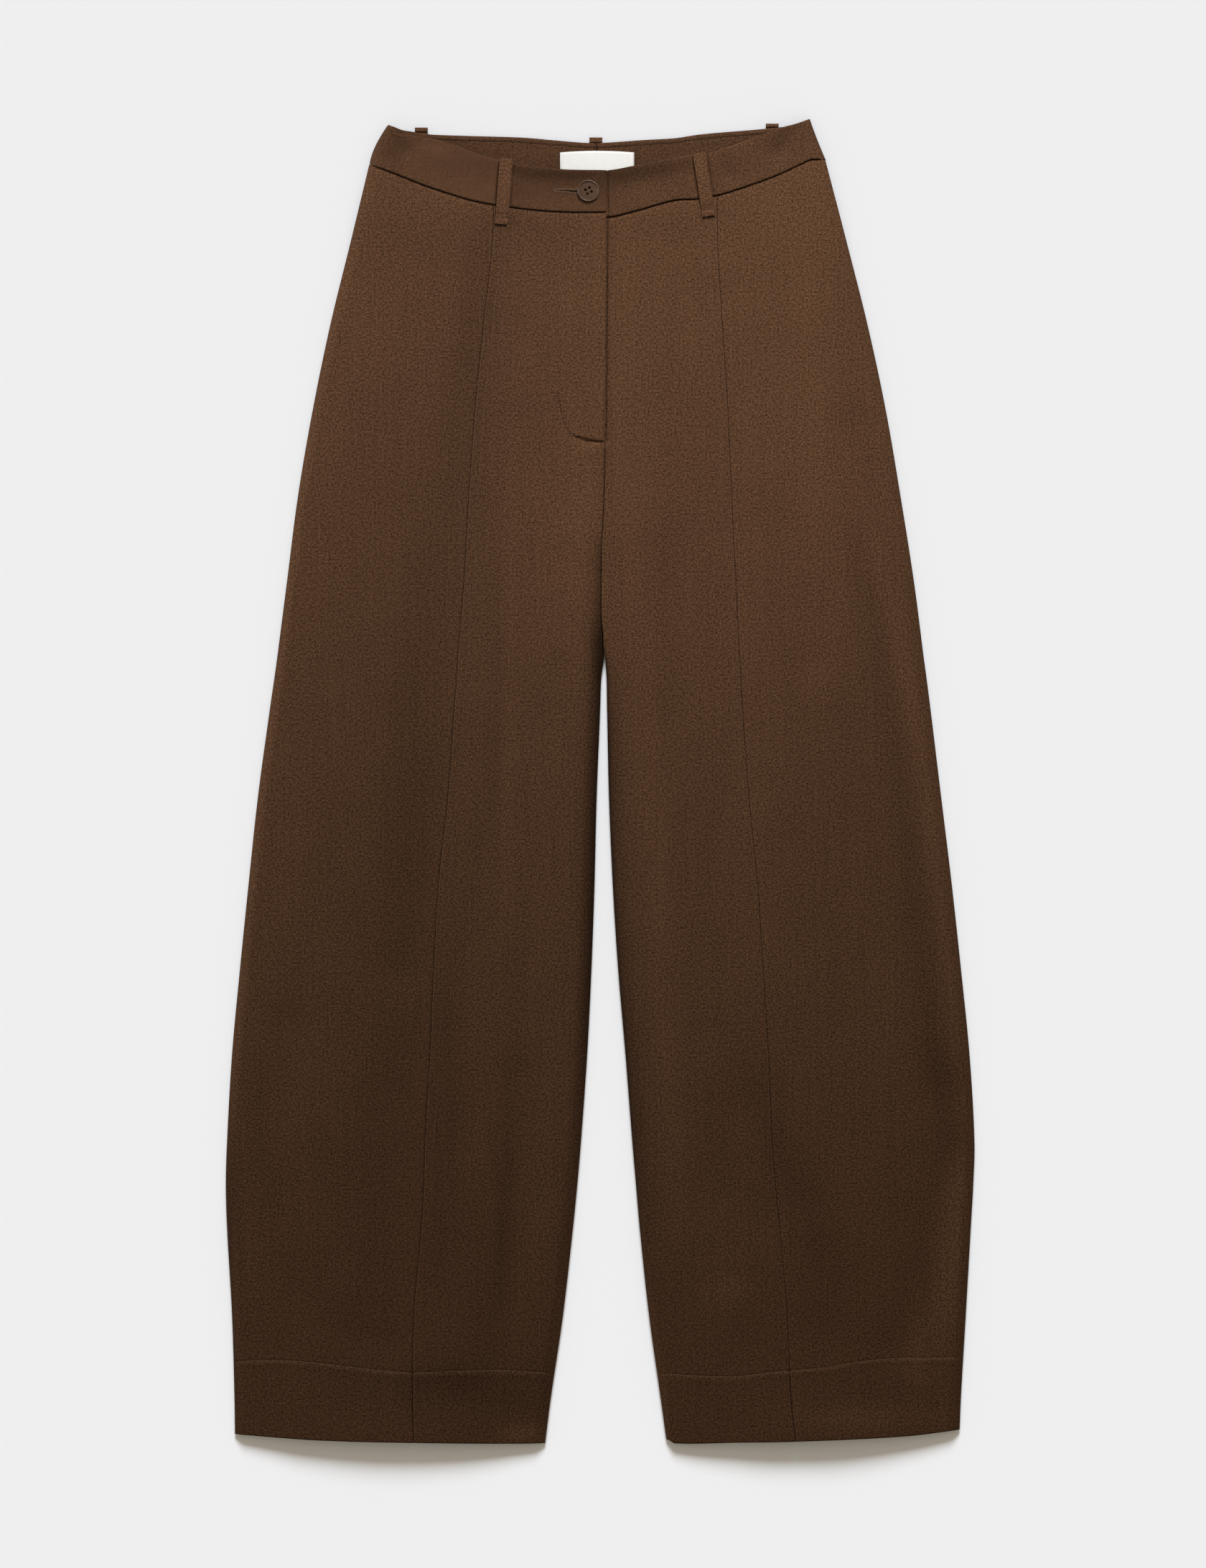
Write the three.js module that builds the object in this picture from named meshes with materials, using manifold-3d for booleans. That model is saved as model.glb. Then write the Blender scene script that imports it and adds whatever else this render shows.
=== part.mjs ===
// Barrel leg trousers laid flat with the front up. Millimetres, +Z up, +Y toward the waist,
// +X toward the viewer's right, which is the wearer's left. The underside rests on z = 0.
import * as THREE from "three";
import { mergeVertices } from "three/addons/utils/BufferGeometryUtils.js";
import Module from "manifold-3d";

const { clamp, lerp, smoothstep, degToRad } = THREE.MathUtils;

// Cloth and sewing
const cloth = 1.2; // one layer of twill
const turnedUpHem = 2.2; // two layers, pressed
const hemDepth = 58;
const foldedBand = 2.4; // waistband with its facing
const seamGap = 0.3;
const bandSeamGap = 0.5; // a little more where the curved waistband seam is cut into flats

// How the legs lie
const rollWidth = 10; // the front cloth rolls over the outline across this width
const backRollWidth = 4;
const backRollHeight = 2.2; // the back panel's edge turns up this far to meet the front
const waistLift = 2; // the back waistband lies on its belt loops
const liftStart = 400;
const liftEnd = 460;
const crotchTop = 205; // above this the fronts meet flat, at the centre front seam
const crotchBottom = 165; // below this each inner edge is a rolled inseam

// Nominal levels of the hem and the waistband seam, which each curve away from them
const hemLevel = -536;
const bandLevel = 480;

// Fly and waistband overlap
const centreFront = 5;
const centreBack = -3;
const flyBottom = 273;
const flyUnderlap = 12; // left front runs this far under the right one
const bandUnderlap = 30; // left waistband end, which carries the button
const flyRaise = 1.7;
const bandRaise = foldedBand + seamGap;
const flyShelf = [-34, -14]; // the raised cloth climbs between these places across
const bandShelf = [-62, -bandUnderlap];
const flyStart = 238; // and between these heights
const bandZone = [400, 455];

// Outlines at each height: side seam, front leg seam and inner edge. The inner edge is the
// fly and the centre front down to the crotch, and the inseam below it.
const rightLeg = [
  { y: -540, outer: -296, seam: -151, inner: -45 },
  { y: -500, outer: -296.5, seam: -152, inner: -40 },
  { y: -432, outer: -298.5, seam: -151, inner: -30 },
  { y: -362, outer: -302.5, seam: -145, inner: -22 },
  { y: -327, outer: -303.5, seam: -143, inner: -18.5 },
  { y: -292, outer: -302.5, seam: -142, inner: -15.5 },
  { y: -222, outer: -298.5, seam: -138, inner: -10.5 },
  { y: -152, outer: -292, seam: -135, inner: -7 },
  { y: -83, outer: -285, seam: -131, inner: -5 },
  { y: -13, outer: -277.5, seam: -123.5, inner: -3.5 },
  { y: 57, outer: -268, seam: -118.5, inner: -0.5 },
  { y: 99, outer: -262, seam: -115.5, inner: 2.5 },
  { y: 161, outer: -254, seam: -110.5, inner: 1.5 },
  { y: 231, outer: -245, seam: -106.5, inner: 3 },
  { y: 301, outer: -233, seam: -101.5, inner: 4 },
  { y: 371, outer: -218.5, seam: -94.5, inner: 4.5 },
  { y: 440, outer: -201.5, seam: -87, inner: 5 },
  { y: 500, outer: -187, seam: -87, inner: 5 },
];
const leftLeg = [
  { y: -540, outer: 291, seam: 159, inner: 54.5 },
  { y: -500, outer: 292.5, seam: 154.5, inner: 49 },
  { y: -432, outer: 296.5, seam: 151.5, inner: 39.5 },
  { y: -362, outer: 300.5, seam: 145.5, inner: 32 },
  { y: -327, outer: 302.5, seam: 142, inner: 29 },
  { y: -292, outer: 303.5, seam: 139.5, inner: 26 },
  { y: -222, outer: 299.5, seam: 136.5, inner: 20.5 },
  { y: -152, outer: 292.5, seam: 132, inner: 14.5 },
  { y: -83, outer: 285, seam: 127.5, inner: 10.5 },
  { y: -13, outer: 276.5, seam: 120.5, inner: 7.5 },
  { y: 57, outer: 268, seam: 115.5, inner: 6 },
  { y: 99, outer: 262.5, seam: 113, inner: 4 },
  { y: 161, outer: 254.5, seam: 110, inner: 1.8 },
  { y: 231, outer: 243.5, seam: 106.5, inner: 3.3 },
  { y: 301, outer: 231.5, seam: 103.5, inner: 4.3 },
  { y: 371, outer: 216.5, seam: 99, inner: 4.8 },
  { y: 440, outer: 199, seam: 95, inner: 5.3 },
  { y: 503, outer: 182.5, seam: 95, inner: 5.3 },
];

// The curved ends of the panels and the two edges of the waistband
const hem = [
  { x: -296, y: -529.5 },
  { x: -231, y: -534 },
  { x: -151, y: -536 },
  { x: -45, y: -537 },
  { x: 54, y: -534 },
  { x: 61, y: -537 },
  { x: 111, y: -536 },
  { x: 159, y: -535 },
  { x: 247, y: -531 },
  { x: 291, y: -526 },
];
const rightBandSeam = [
  { x: -187, y: 499.5 },
  { x: -167, y: 492 },
  { x: -133, y: 479 },
  { x: -98, y: 468.5 },
  { x: -54, y: 462 },
  { x: -26, y: 460 },
  { x: 5, y: 460 },
];
const leftBandSeam = [
  { x: -30, y: 456 },
  { x: 6, y: 456 },
  { x: 30, y: 461.5 },
  { x: 61, y: 470 },
  { x: 80, y: 471 },
  { x: 101, y: 475.5 },
  { x: 140, y: 489 },
  { x: 163, y: 499.5 },
  { x: 171, y: 503 },
  { x: 183, y: 503 },
];
const rightBandTop = [
  { x: -173, y: 531.5 },
  { x: -166, y: 526.5 },
  { x: -132, y: 518 },
  { x: -97, y: 507 },
  { x: -70, y: 500 },
  { x: -33, y: 495 },
  { x: 4, y: 494 },
];
const leftBandTop = [
  { x: -30, y: 493 },
  { x: 6, y: 493 },
  { x: 28, y: 498 },
  { x: 69, y: 506 },
  { x: 86, y: 508 },
  { x: 114, y: 517 },
  { x: 145, y: 528.5 },
  { x: 161, y: 533 },
  { x: 170, y: 536.5 },
];
const backBandTop = [
  { x: -173, y: 531.5 },
  { x: -160, y: 528 },
  { x: -139, y: 524 },
  { x: -64, y: 521.5 },
  { x: -12, y: 516.5 },
  { x: 26, y: 518.5 },
  { x: 61, y: 521 },
  { x: 81, y: 524 },
  { x: 133, y: 528.5 },
  { x: 153, y: 531 },
  { x: 170, y: 536.5 },
];
const backBandSeam = [
  { x: -187, y: 499.5 },
  { x: -130, y: 490 },
  { x: -70, y: 484.5 },
  { x: -3, y: 482 },
  { x: 70, y: 485 },
  { x: 130, y: 492 },
  { x: 183, y: 503 },
];
// The waistband's rolled side swells past a straight line on the right and dips on the left
const rightBulge = 2.5;
const leftBulge = -0.5;

// Height of the front cloth: just inside the rolled edges and in the middle
const loft = [
  { y: -540, edge: 6.5, middle: 11.5 },
  { y: -480, edge: 6, middle: 9.5 },
  { y: -400, edge: 5.4, middle: 6.6 },
  { y: 0, edge: 5.4, middle: 6.4 },
  { y: 160, edge: 5.6, middle: 7 },
  { y: 300, edge: 6, middle: 8.6 },
  { y: 400, edge: 6.6, middle: 10.4 },
  { y: 450, edge: 7.4, middle: 11.8 },
  { y: 540, edge: 7.6, middle: 11.8 },
];

// Soft folds. Each follows a curve from its start past its bend to its end.
const folds = [
  { x0: -96, y0: 358, x1: -140, y1: 190, x2: -160, y2: -150, width: 22, height: -2 },
  { x0: -253, y0: -199, x1: -286, y1: -455, x2: -170, y2: -455, width: 22, height: -1.8 },
  { x0: -62, y0: -240, x1: -60, y1: -350, x2: -79, y2: -465, width: 18, height: -1.6 },
  { x0: -205, y0: -250, x1: -200, y1: -330, x2: -196, y2: -410, width: 26, height: 1.4 },
  { x0: -14, y0: 262, x1: -18, y1: 200, x2: -34, y2: 110, width: 15, height: 1.4 },
  { x0: 95, y0: 392, x1: 118, y1: 250, x2: 174, y2: 101, width: 18, height: -2 },
  { x0: 203, y0: 283, x1: 205, y1: 20, x2: 280, y2: -250, width: 20, height: -2 },
  { x0: 280, y0: -250, x1: 285, y1: -390, x2: 240, y2: -460, width: 20, height: -1.7 },
  { x0: 66, y0: 430, x1: 62, y1: 240, x2: 63, y2: 50, width: 12, height: -1 },
  { x0: 112, y0: -270, x1: 104, y1: -302, x2: 112, y2: -332, width: 24, height: -1.6 },
  { x0: 112, y0: -395, x1: 114, y1: -410, x2: 108, y2: -428, width: 20, height: 1.4 },
  { x0: 168, y0: -370, x1: 170, y1: -395, x2: 166, y2: -415, width: 20, height: 1.2 },
];

// Belt loops, from the middle of the top end to the middle of the bottom end
const loopWidth = 10.5;
const loopLength = 53.5;
const loopEnd = 4; // length of each folded end
const frontLoops = [
  { name: "right", topX: -76, topY: 503.5, bottomX: -80, bottomY: 450 },
  { name: "left", topX: 80, topY: 508, bottomX: 88, bottomY: 456.5 },
];
const backLoops = [
  { name: "right", x: -145, topY: 529 },
  { name: "centre", x: -3.5, topY: 520 },
  { name: "left", x: 139.5, topY: 532 },
];

const label = { x: -2.5, y: 497.5, width: 60, height: 23, bow: 1.4, thickness: 1 };
const button = { x: -9.5, y: 477, diameter: 18, rim: 3, well: 1.7, hole: 2.3, spacing: 3.7, turn: -17.5 };

// A smooth curve through the rows of a table, flat past its ends
function curve(rows, input, output) {
  const at = rows.map((row) => row[input]);
  const values = rows.map((row) => row[output]);
  const last = rows.length - 1;
  const slope = (i) => {
    const before = Math.max(i - 1, 0);
    const after = Math.min(i + 1, last);
    return (values[after] - values[before]) / (at[after] - at[before]);
  };
  return (position) => {
    let i = 0;
    while (i < last - 1 && position > at[i + 1]) {
      i += 1;
    }
    const span = at[i + 1] - at[i];
    const t = clamp((position - at[i]) / span, 0, 1);
    const ease = t * t * (3 - 2 * t);
    const leaving = t * (1 - t) * (1 - t) * span * slope(i);
    const arriving = t * t * (t - 1) * span * slope(i + 1);
    return lerp(values[i], values[i + 1], ease) + leaving + arriving;
  };
}

const hemY = curve(hem, "x", "y");
const loftEdge = curve(loft, "y", "edge");
const loftMiddle = curve(loft, "y", "middle");
const backTopY = curve(backBandTop, "x", "y");
const backSeamY = curve(backBandSeam, "x", "y");

// One side of the trousers. Inward is the direction from the side seam to the centre.
function makeSide(name, inward, rows, bandSeam, bandTop, bulge) {
  return {
    name,
    inward,
    bulge,
    outer: curve(rows, "y", "outer"),
    seam: curve(rows, "y", "seam"),
    inner: curve(rows, "y", "inner"),
    bandSeamY: curve(bandSeam, "x", "y"),
    bandTopY: curve(bandTop, "x", "y"),
    sideSeamX: inward > 0 ? bandSeam[0].x : bandSeam[bandSeam.length - 1].x,
    sideTopX: inward > 0 ? bandTop[0].x : bandTop[bandTop.length - 1].x,
  };
}
const rightSide = makeSide("right", 1, rightLeg, rightBandSeam, rightBandTop, rightBulge);
const leftSide = makeSide("left", -1, leftLeg, leftBandSeam, leftBandTop, leftBulge);

// Distance from a point to a fold's curve, through a few short chords
const foldChords = 10;
const foldLines = folds.map((fold) => {
  const line = new THREE.QuadraticBezierCurve(
    new THREE.Vector2(fold.x0, fold.y0),
    new THREE.Vector2(fold.x1, fold.y1),
    new THREE.Vector2(fold.x2, fold.y2),
  );
  return line.getPoints(foldChords);
});
function distanceToLine(points, x, y) {
  let nearest = Infinity;
  for (let i = 0; i < points.length - 1; i += 1) {
    const chord = points[i + 1].clone().sub(points[i]);
    const reach = new THREE.Vector2(x, y).sub(points[i]);
    const along = clamp(reach.dot(chord) / chord.lengthSq(), 0, 1);
    nearest = Math.min(nearest, reach.sub(chord.multiplyScalar(along)).length());
  }
  return nearest;
}

// 0 where the fronts meet flat at the centre, 1 where the legs have rolled inner edges
const legsApart = (y) => 1 - smoothstep(y, crotchBottom, crotchTop);
const lift = (y) => waistLift * smoothstep(y, liftStart, liftEnd);

// Height of the front cloth's outside, before the fly is raised over the left front
function frontTop(side, x, y) {
  const outer = side.outer(y);
  const across = clamp((x - outer) / (side.inner(y) - outer), 0, 1);
  const whole = Math.sin((across * Math.PI) / 2);
  const leg = Math.sin(across * Math.PI);
  const arch = lerp(whole, leg, legsApart(y));
  let height = lerp(loftEdge(y), loftMiddle(y), arch);
  folds.forEach((fold, i) => {
    const distance = distanceToLine(foldLines[i], x, y) / fold.width;
    height += fold.height * Math.exp(-distance * distance);
  });
  return height;
}

// The right front is raised where it laps over the left one
function flyLift(x, y) {
  const nearBand = smoothstep(y, ...bandZone);
  const from = lerp(flyShelf[0], bandShelf[0], nearBand);
  const to = lerp(flyShelf[1], bandShelf[1], nearBand);
  const rise = lerp(flyRaise, bandRaise, nearBand) * smoothstep(y, flyStart, flyBottom - 3);
  return rise * smoothstep(x, from, to);
}

// A closed wall between two grids of points, one on each face of the cloth
function wall(name, grid) {
  const columns = grid[0].length;
  const rows = grid.length;
  const positions = [];
  for (const face of ["outer", "inner"]) {
    for (const row of grid) {
      for (const point of row) {
        positions.push(...point[face]);
      }
    }
  }
  const index = [];
  const at = (face, row, column) => (face * rows + row) * columns + column;
  const quad = (a, b, c, d) => index.push(a, b, c, a, c, d);
  for (let r = 0; r < rows - 1; r += 1) {
    for (let c = 0; c < columns - 1; c += 1) {
      quad(at(0, r, c), at(0, r, c + 1), at(0, r + 1, c + 1), at(0, r + 1, c));
      quad(at(1, r, c), at(1, r + 1, c), at(1, r + 1, c + 1), at(1, r, c + 1));
    }
  }
  for (let r = 0; r < rows - 1; r += 1) {
    quad(at(0, r, 0), at(0, r + 1, 0), at(1, r + 1, 0), at(1, r, 0));
    const end = columns - 1;
    quad(at(0, r, end), at(1, r, end), at(1, r + 1, end), at(0, r + 1, end));
  }
  for (let c = 0; c < columns - 1; c += 1) {
    quad(at(0, 0, c), at(1, 0, c), at(1, 0, c + 1), at(0, 0, c + 1));
    const end = rows - 1;
    quad(at(0, end, c), at(0, end, c + 1), at(1, end, c + 1), at(1, end, c));
  }
  const geometry = new THREE.BufferGeometry();
  geometry.setAttribute("position", new THREE.Float32BufferAttribute(positions, 3));
  geometry.setIndex(volume(positions, index) < 0 ? index.reverse() : index);
  geometry.computeVertexNormals();
  return named(name, geometry, clothMaterial());
}

// Six times the signed volume, which is negative where the faces point inward
function volume(positions, index) {
  let total = 0;
  const corner = (i) => new THREE.Vector3().fromArray(positions, index[i] * 3);
  for (let i = 0; i < index.length; i += 3) {
    total += corner(i).dot(corner(i + 1).cross(corner(i + 2)));
  }
  return total;
}

function named(name, geometry, material) {
  const mesh = new THREE.Mesh(geometry, material);
  mesh.name = name;
  return mesh;
}
const clothMaterial = () =>
  new THREE.MeshStandardMaterial({ color: 0x4a3226, roughness: 0.9, metalness: 0 });

// Levels of a panel's rows, closer together at the hem's stitching, the crotch and the fly
const rowZones = [
  { from: hemLevel, to: hemLevel + hemDepth - 1, rows: 3 },
  { from: hemLevel + hemDepth + 1, to: 60, rows: 15 },
  { from: 60, to: 225, rows: 8 },
  { from: 225, to: 300, rows: 5 },
  { from: 300, to: bandLevel, rows: 6 },
];
function rowLevels() {
  const levels = [];
  for (const zone of rowZones) {
    for (let i = 0; i < zone.rows; i += 1) {
      levels.push(lerp(zone.from, zone.to, i / zone.rows));
    }
    if (zone.from === hemLevel) {
      levels.push(zone.to);
    }
  }
  levels.push(bandLevel);
  return levels;
}

// A row follows the hem near the hem and the waistband seam near the waist
const hemReach = [-469, -340];
const bandReach = [250, bandLevel];
function rowY(level, x, topY, gap) {
  const nearHem = 1 - smoothstep(level, ...hemReach);
  const nearBand = smoothstep(level, ...bandReach);
  return level + (hemY(x) - hemLevel) * nearHem + (topY(x) - gap - bandLevel) * nearBand;
}
const thicknessAt = (level) => (level < hemLevel + hemDepth ? turnedUpHem : cloth);

// Finds the point of a row at a given place across, whose x and y depend on each other
function placeOnRow(level, topY, xAt) {
  let y = level;
  let x = xAt(y);
  for (let i = 0; i < 4; i += 1) {
    y = rowY(level, x, topY, bandSeamGap / 2);
    x = xAt(y);
  }
  return { x, y };
}

// Distance from a rolled edge at a column, and how far round the roll it is, 0 to 1
const rollSteps = 3;
const flatSteps = 6;
function columnPlace(column, roll, width) {
  if (column <= rollSteps) {
    const angle = degToRad((90 * column) / rollSteps);
    return { inset: roll * (1 - Math.cos(angle)), curl: Math.cos(angle), up: Math.sin(angle) };
  }
  const share = (column - rollSteps) / flatSteps;
  return { inset: lerp(roll, width, share), curl: 0, up: 1 };
}

// A front panel, from its rolled edge to the front leg seam
function frontPanel(side, part) {
  const isSide = part === "side";
  const inward = isSide ? side.inward : -side.inward;
  const under = side.name === "left" ? flyUnderlap : 0;
  const innerEdge = (y) => {
    const lap = under * smoothstep(y, flyBottom, flyBottom + 18);
    return side.inner(y) + side.inward * (lap - seamGap / 2);
  };
  const edge = isSide ? side.outer : innerEdge;
  const seamOffset = (-inward * seamGap) / 2;
  const rolled = isSide ? () => 1 : legsApart;
  const raised = side.name === "right" ? flyLift : () => 0;
  const grid = rowLevels().map((level) => {
    const thickness = thicknessAt(level);
    const row = [];
    for (let column = 0; column <= rollSteps + flatSteps; column += 1) {
      const widthAt = (y) => Math.abs(side.seam(y) + seamOffset - edge(y));
      const xAt = (y) => edge(y) + inward * columnPlace(column, rollWidth, widthAt(y)).inset;
      const { x, y } = placeOnRow(level, side.bandSeamY, xAt);
      const place = columnPlace(column, rollWidth, widthAt(y));
      const roll = rolled(y);
      const seat = lift(y) + backRollHeight + seamGap;
      const top = frontTop(side, x, y) + raised(x, y);
      const outerZ = lerp(top, seat + (top - seat) * place.up, roll);
      const innerZ = lerp(top - thickness, seat + (top - seat - thickness) * place.up, roll);
      const innerX = x + inward * thickness * place.curl * roll;
      row.push({ outer: [x, y, outerZ], inner: [innerX, y, innerZ] });
    }
    return row;
  });
  return wall(`front_${side.name}_${part}`, grid);
}

// Above the crotch the centre back seam runs off to one side of the centre front
const centreBackShift = (y) => (centreBack - centreFront) * smoothstep(y, crotchTop, liftEnd);

// A back panel, flat on the surface with both long edges turned up
const backInteriorSteps = 8;
function backPanel(side) {
  const centreGap = (side.inward * seamGap) / 2;
  const grid = rowLevels().map((level) => {
    const thickness = thicknessAt(level);
    const row = [];
    const columns = 2 * rollSteps + backInteriorSteps;
    for (let column = 0; column <= columns; column += 1) {
      const fromInner = column > columns / 2;
      const step = fromInner ? columns - column : column;
      const inward = fromInner ? -side.inward : side.inward;
      const innerEdge = (y) => side.inner(y) - centreGap + centreBackShift(y);
      const edge = fromInner ? innerEdge : side.outer;
      const angle = degToRad((90 * Math.min(step, rollSteps)) / rollSteps);
      const share = Math.max(step - rollSteps, 0) / backInteriorSteps;
      const xAt = (y) => {
        const flatWidth = Math.abs(innerEdge(y) - side.outer(y)) - 2 * backRollWidth;
        return edge(y) + inward * (backRollWidth * (1 - Math.cos(angle)) + share * flatWidth);
      };
      const { x, y } = placeOnRow(level, backSeamY, xAt);
      const roll = fromInner ? legsApart(y) : 1;
      const curl = Math.cos(angle) * roll;
      const sink = 1 - Math.sin(angle);
      const outerZ = lift(y) + backRollHeight * sink * roll;
      const turned = backRollHeight - (backRollHeight - thickness) * Math.sin(angle);
      const innerZ = lift(y) + lerp(thickness, turned, roll);
      row.push({ outer: [x, y, outerZ], inner: [x + inward * thickness * curl, y, innerZ] });
    }
    return row;
  });
  return wall(`back_${side.name}`, grid);
}

// Upper face of the folded front waistband at a place on it
function bandSurface(side, x, y) {
  const raised = side.name === "right" ? flyLift(x, y) : 0;
  return frontTop(side, x, y) - cloth + foldedBand + raised;
}

// A front waistband, from its rolled side to its end at the fly
const bandSteps = 16;
const bandRows = 3;
const bandSeat = 2.2; // its rolled side comes down to here, round the back waistband's end
function frontBand(side) {
  const end = side.name === "right" ? centreFront - 0.3 : centreFront - bandUnderlap;
  const grid = [];
  for (let r = 0; r <= bandRows; r += 1) {
    const up = r / bandRows;
    const bulge = side.bulge * 4 * up * (1 - up);
    const edge = lerp(side.sideSeamX, side.sideTopX, up) - side.inward * bulge;
    const width = Math.abs(end - edge);
    const row = [];
    for (let column = 0; column <= rollSteps + bandSteps; column += 1) {
      const angle = degToRad((90 * Math.min(column, rollSteps)) / rollSteps);
      const share = Math.max(column - rollSteps, 0) / bandSteps;
      const inset = rollWidth * (1 - Math.cos(angle)) + share * (width - rollWidth);
      const x = edge + side.inward * inset;
      const lowY = side.bandSeamY(x) + bandSeamGap / 2;
      const y = lerp(lowY, side.bandTopY(x), up);
      const top = bandSurface(side, x, y);
      const rise = (height) => bandSeat + (height - bandSeat) * Math.sin(angle);
      const innerX = x + side.inward * foldedBand * Math.cos(angle);
      row.push({ outer: [x, y, rise(top)], inner: [innerX, y, rise(top - foldedBand)] });
    }
    grid.push(row);
  }
  return wall(`waistband_front_${side.name}`, grid);
}

// The back waistband and its facing are flat strips, one on the other
const backBandSteps = 14;
function backStrip(name, side, strip) {
  const end = centreBack - (side.inward * seamGap) / 2;
  const grid = [];
  for (let r = 0; r <= bandRows; r += 1) {
    const up = r / bandRows;
    const bulge = side.bulge * 4 * up * (1 - up);
    const rolledEdge = lerp(side.sideSeamX, side.sideTopX, up) - side.inward * bulge;
    const edge = rolledEdge + side.inward * strip.inset;
    const row = [];
    for (let column = 0; column <= backBandSteps; column += 1) {
      const x = lerp(edge, end, column / backBandSteps);
      const lowY = backSeamY(x) + bandSeamGap / 2;
      const y = lerp(lowY, backTopY(x) - strip.below, up);
      row.push({ outer: [x, y, strip.z], inner: [x, y, strip.z + cloth] });
    }
    grid.push(row);
  }
  return wall(name, grid);
}
const outerStrip = { z: waistLift, inset: 3.4, below: 0 };
const facingStrip = { z: waistLift + cloth + seamGap, inset: 5, below: 1.5 };

// A front belt loop is made from the waistband's surface, moved out, and stands off between
// its two folded ends
const loopRows = 10;
const loopBow = 1.2;
const loopDrop = [3, 10]; // it comes down off the waistband this far below the seam
function frontLoop(side, loop) {
  const along = new THREE.Vector2(loop.bottomX - loop.topX, loop.bottomY - loop.topY);
  const length = along.length();
  const across = new THREE.Vector2(-along.y, along.x).setLength(loopWidth / 2);
  const grid = [];
  for (let r = 0; r <= loopRows; r += 1) {
    const place = endedPlace(r / loopRows, length);
    const middleX = lerp(loop.topX, loop.bottomX, place.share);
    const middleY = lerp(loop.topY, loop.bottomY, place.share);
    const bandTop = bandSurface(side, middleX, middleY);
    const overPanel = smoothstep(side.bandSeamY(middleX) - middleY, ...loopDrop);
    const base = bandTop + seamGap - (foldedBand - cloth) * overPanel;
    const low = base + loopBow * Math.sin(place.share * Math.PI);
    const high = low + (place.folded ? 2 * cloth : cloth);
    const row = [-1, 0, 1].map((s) => {
      const x = middleX + across.x * s;
      const y = middleY + across.y * s;
      return { outer: [x, y, high], inner: [x, y, low] };
    });
    grid.push(row);
  }
  return wall(`belt_loop_front_${side.name}`, grid);
}

// Puts a row just inside and just outside each folded end, and spreads the others between
const foldStep = 0.004; // half the slope at a folded end, as a share of the length
function endedPlace(share, length) {
  const endShare = loopEnd / length;
  const step = Math.round(share * loopRows);
  const places = [0, endShare - foldStep, endShare + foldStep];
  if (step < 3) {
    return { share: places[step], folded: step < 2 };
  }
  if (step > loopRows - 3) {
    return { share: 1 - places[loopRows - step], folded: step > loopRows - 2 };
  }
  return { share: lerp(endShare, 1 - endShare, (step - 2) / (loopRows - 4)), folded: false };
}

// A back belt loop lies under the back waistband, and its folded end shows past the top edge
const backLoopLow = 0.4;
function backLoop(loop) {
  const edge = Math.max(backTopY(loop.x - loopWidth / 2), backTopY(loop.x + loopWidth / 2));
  const rows = [
    { y: loop.topY - loopLength, top: backLoopLow + cloth },
    { y: edge + seamGap, top: backLoopLow + cloth },
    { y: edge + seamGap + 0.1, top: waistLift + cloth },
    { y: loop.topY, top: waistLift + cloth },
  ];
  const grid = rows.map((row) =>
    [-1, 1].map((s) => {
      const x = loop.x + (s * loopWidth) / 2;
      return { outer: [x, row.y, row.top], inner: [x, row.y, backLoopLow] };
    }),
  );
  return wall(`belt_loop_back_${loop.name}`, grid);
}

// The blank label lies on the facing
function makeLabel() {
  const steps = 6;
  const low = facingStrip.z + cloth + seamGap;
  const grid = [0, 1].map((up) => {
    const row = [];
    for (let i = 0; i <= steps; i += 1) {
      const share = i / steps;
      const x = label.x + (share - 0.5) * label.width;
      const y = label.y + (up - 0.5) * label.height + label.bow * 4 * share * (1 - share) * up;
      row.push({ outer: [x, y, low + label.thickness], inner: [x, y, low] });
    }
    return row;
  });
  const mesh = wall("label", grid);
  mesh.material = new THREE.MeshStandardMaterial({ color: 0xf0f0e8, roughness: 0.7 });
  return mesh;
}

// The button is turned on a lathe, with a raised rim round a well, and drilled four times
const wasm = await Module();
wasm.setup();
function solid(geometry) {
  geometry.deleteAttribute("normal");
  geometry.deleteAttribute("uv");
  const merged = mergeVertices(geometry);
  const mesh = new wasm.Mesh({
    numProp: 3,
    vertProperties: merged.getAttribute("position").array,
    triVerts: new Uint32Array(merged.getIndex().array),
  });
  return new wasm.Manifold(mesh);
}

function makeButton() {
  const radius = button.diameter / 2;
  const profile = [
    { inset: radius, up: 0 },
    { inset: 2, up: 0 },
    { inset: 0.6, up: 0.6 },
    { inset: 0, up: 1.6 },
    { inset: 0.3, up: button.rim - 0.4 },
    { inset: 1, up: button.rim },
    { inset: 1.8, up: button.rim - 0.3 },
    { inset: 2.4, up: button.well + 0.2 },
    { inset: radius, up: button.well },
  ].map((point) => new THREE.Vector2(radius - point.inset, point.up));
  const turned = new THREE.LatheGeometry(profile, 32);
  turned.rotateX(degToRad(90));
  let body = solid(turned);
  for (let i = 0; i < 4; i += 1) {
    const angle = degToRad(button.turn + 90 * i);
    const drill = new THREE.CylinderGeometry(button.hole / 2, button.hole / 2, 3 * button.rim, 12);
    drill.rotateX(degToRad(90));
    const reach = button.spacing / Math.SQRT2;
    drill.translate(reach * Math.cos(angle), reach * Math.sin(angle), 0);
    body = body.subtract(solid(drill));
  }
  const result = body.getMesh();
  const geometry = new THREE.BufferGeometry();
  geometry.setAttribute("position", new THREE.Float32BufferAttribute(result.vertProperties, 3));
  geometry.setIndex(Array.from(result.triVerts));
  const plastic = new THREE.MeshStandardMaterial({ color: 0x4b3a2e, roughness: 0.4 });
  const mesh = named("button", geometry, plastic);
  mesh.position.set(button.x, button.y, bandSurface(rightSide, button.x, button.y) + seamGap);
  return mesh;
}

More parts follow.
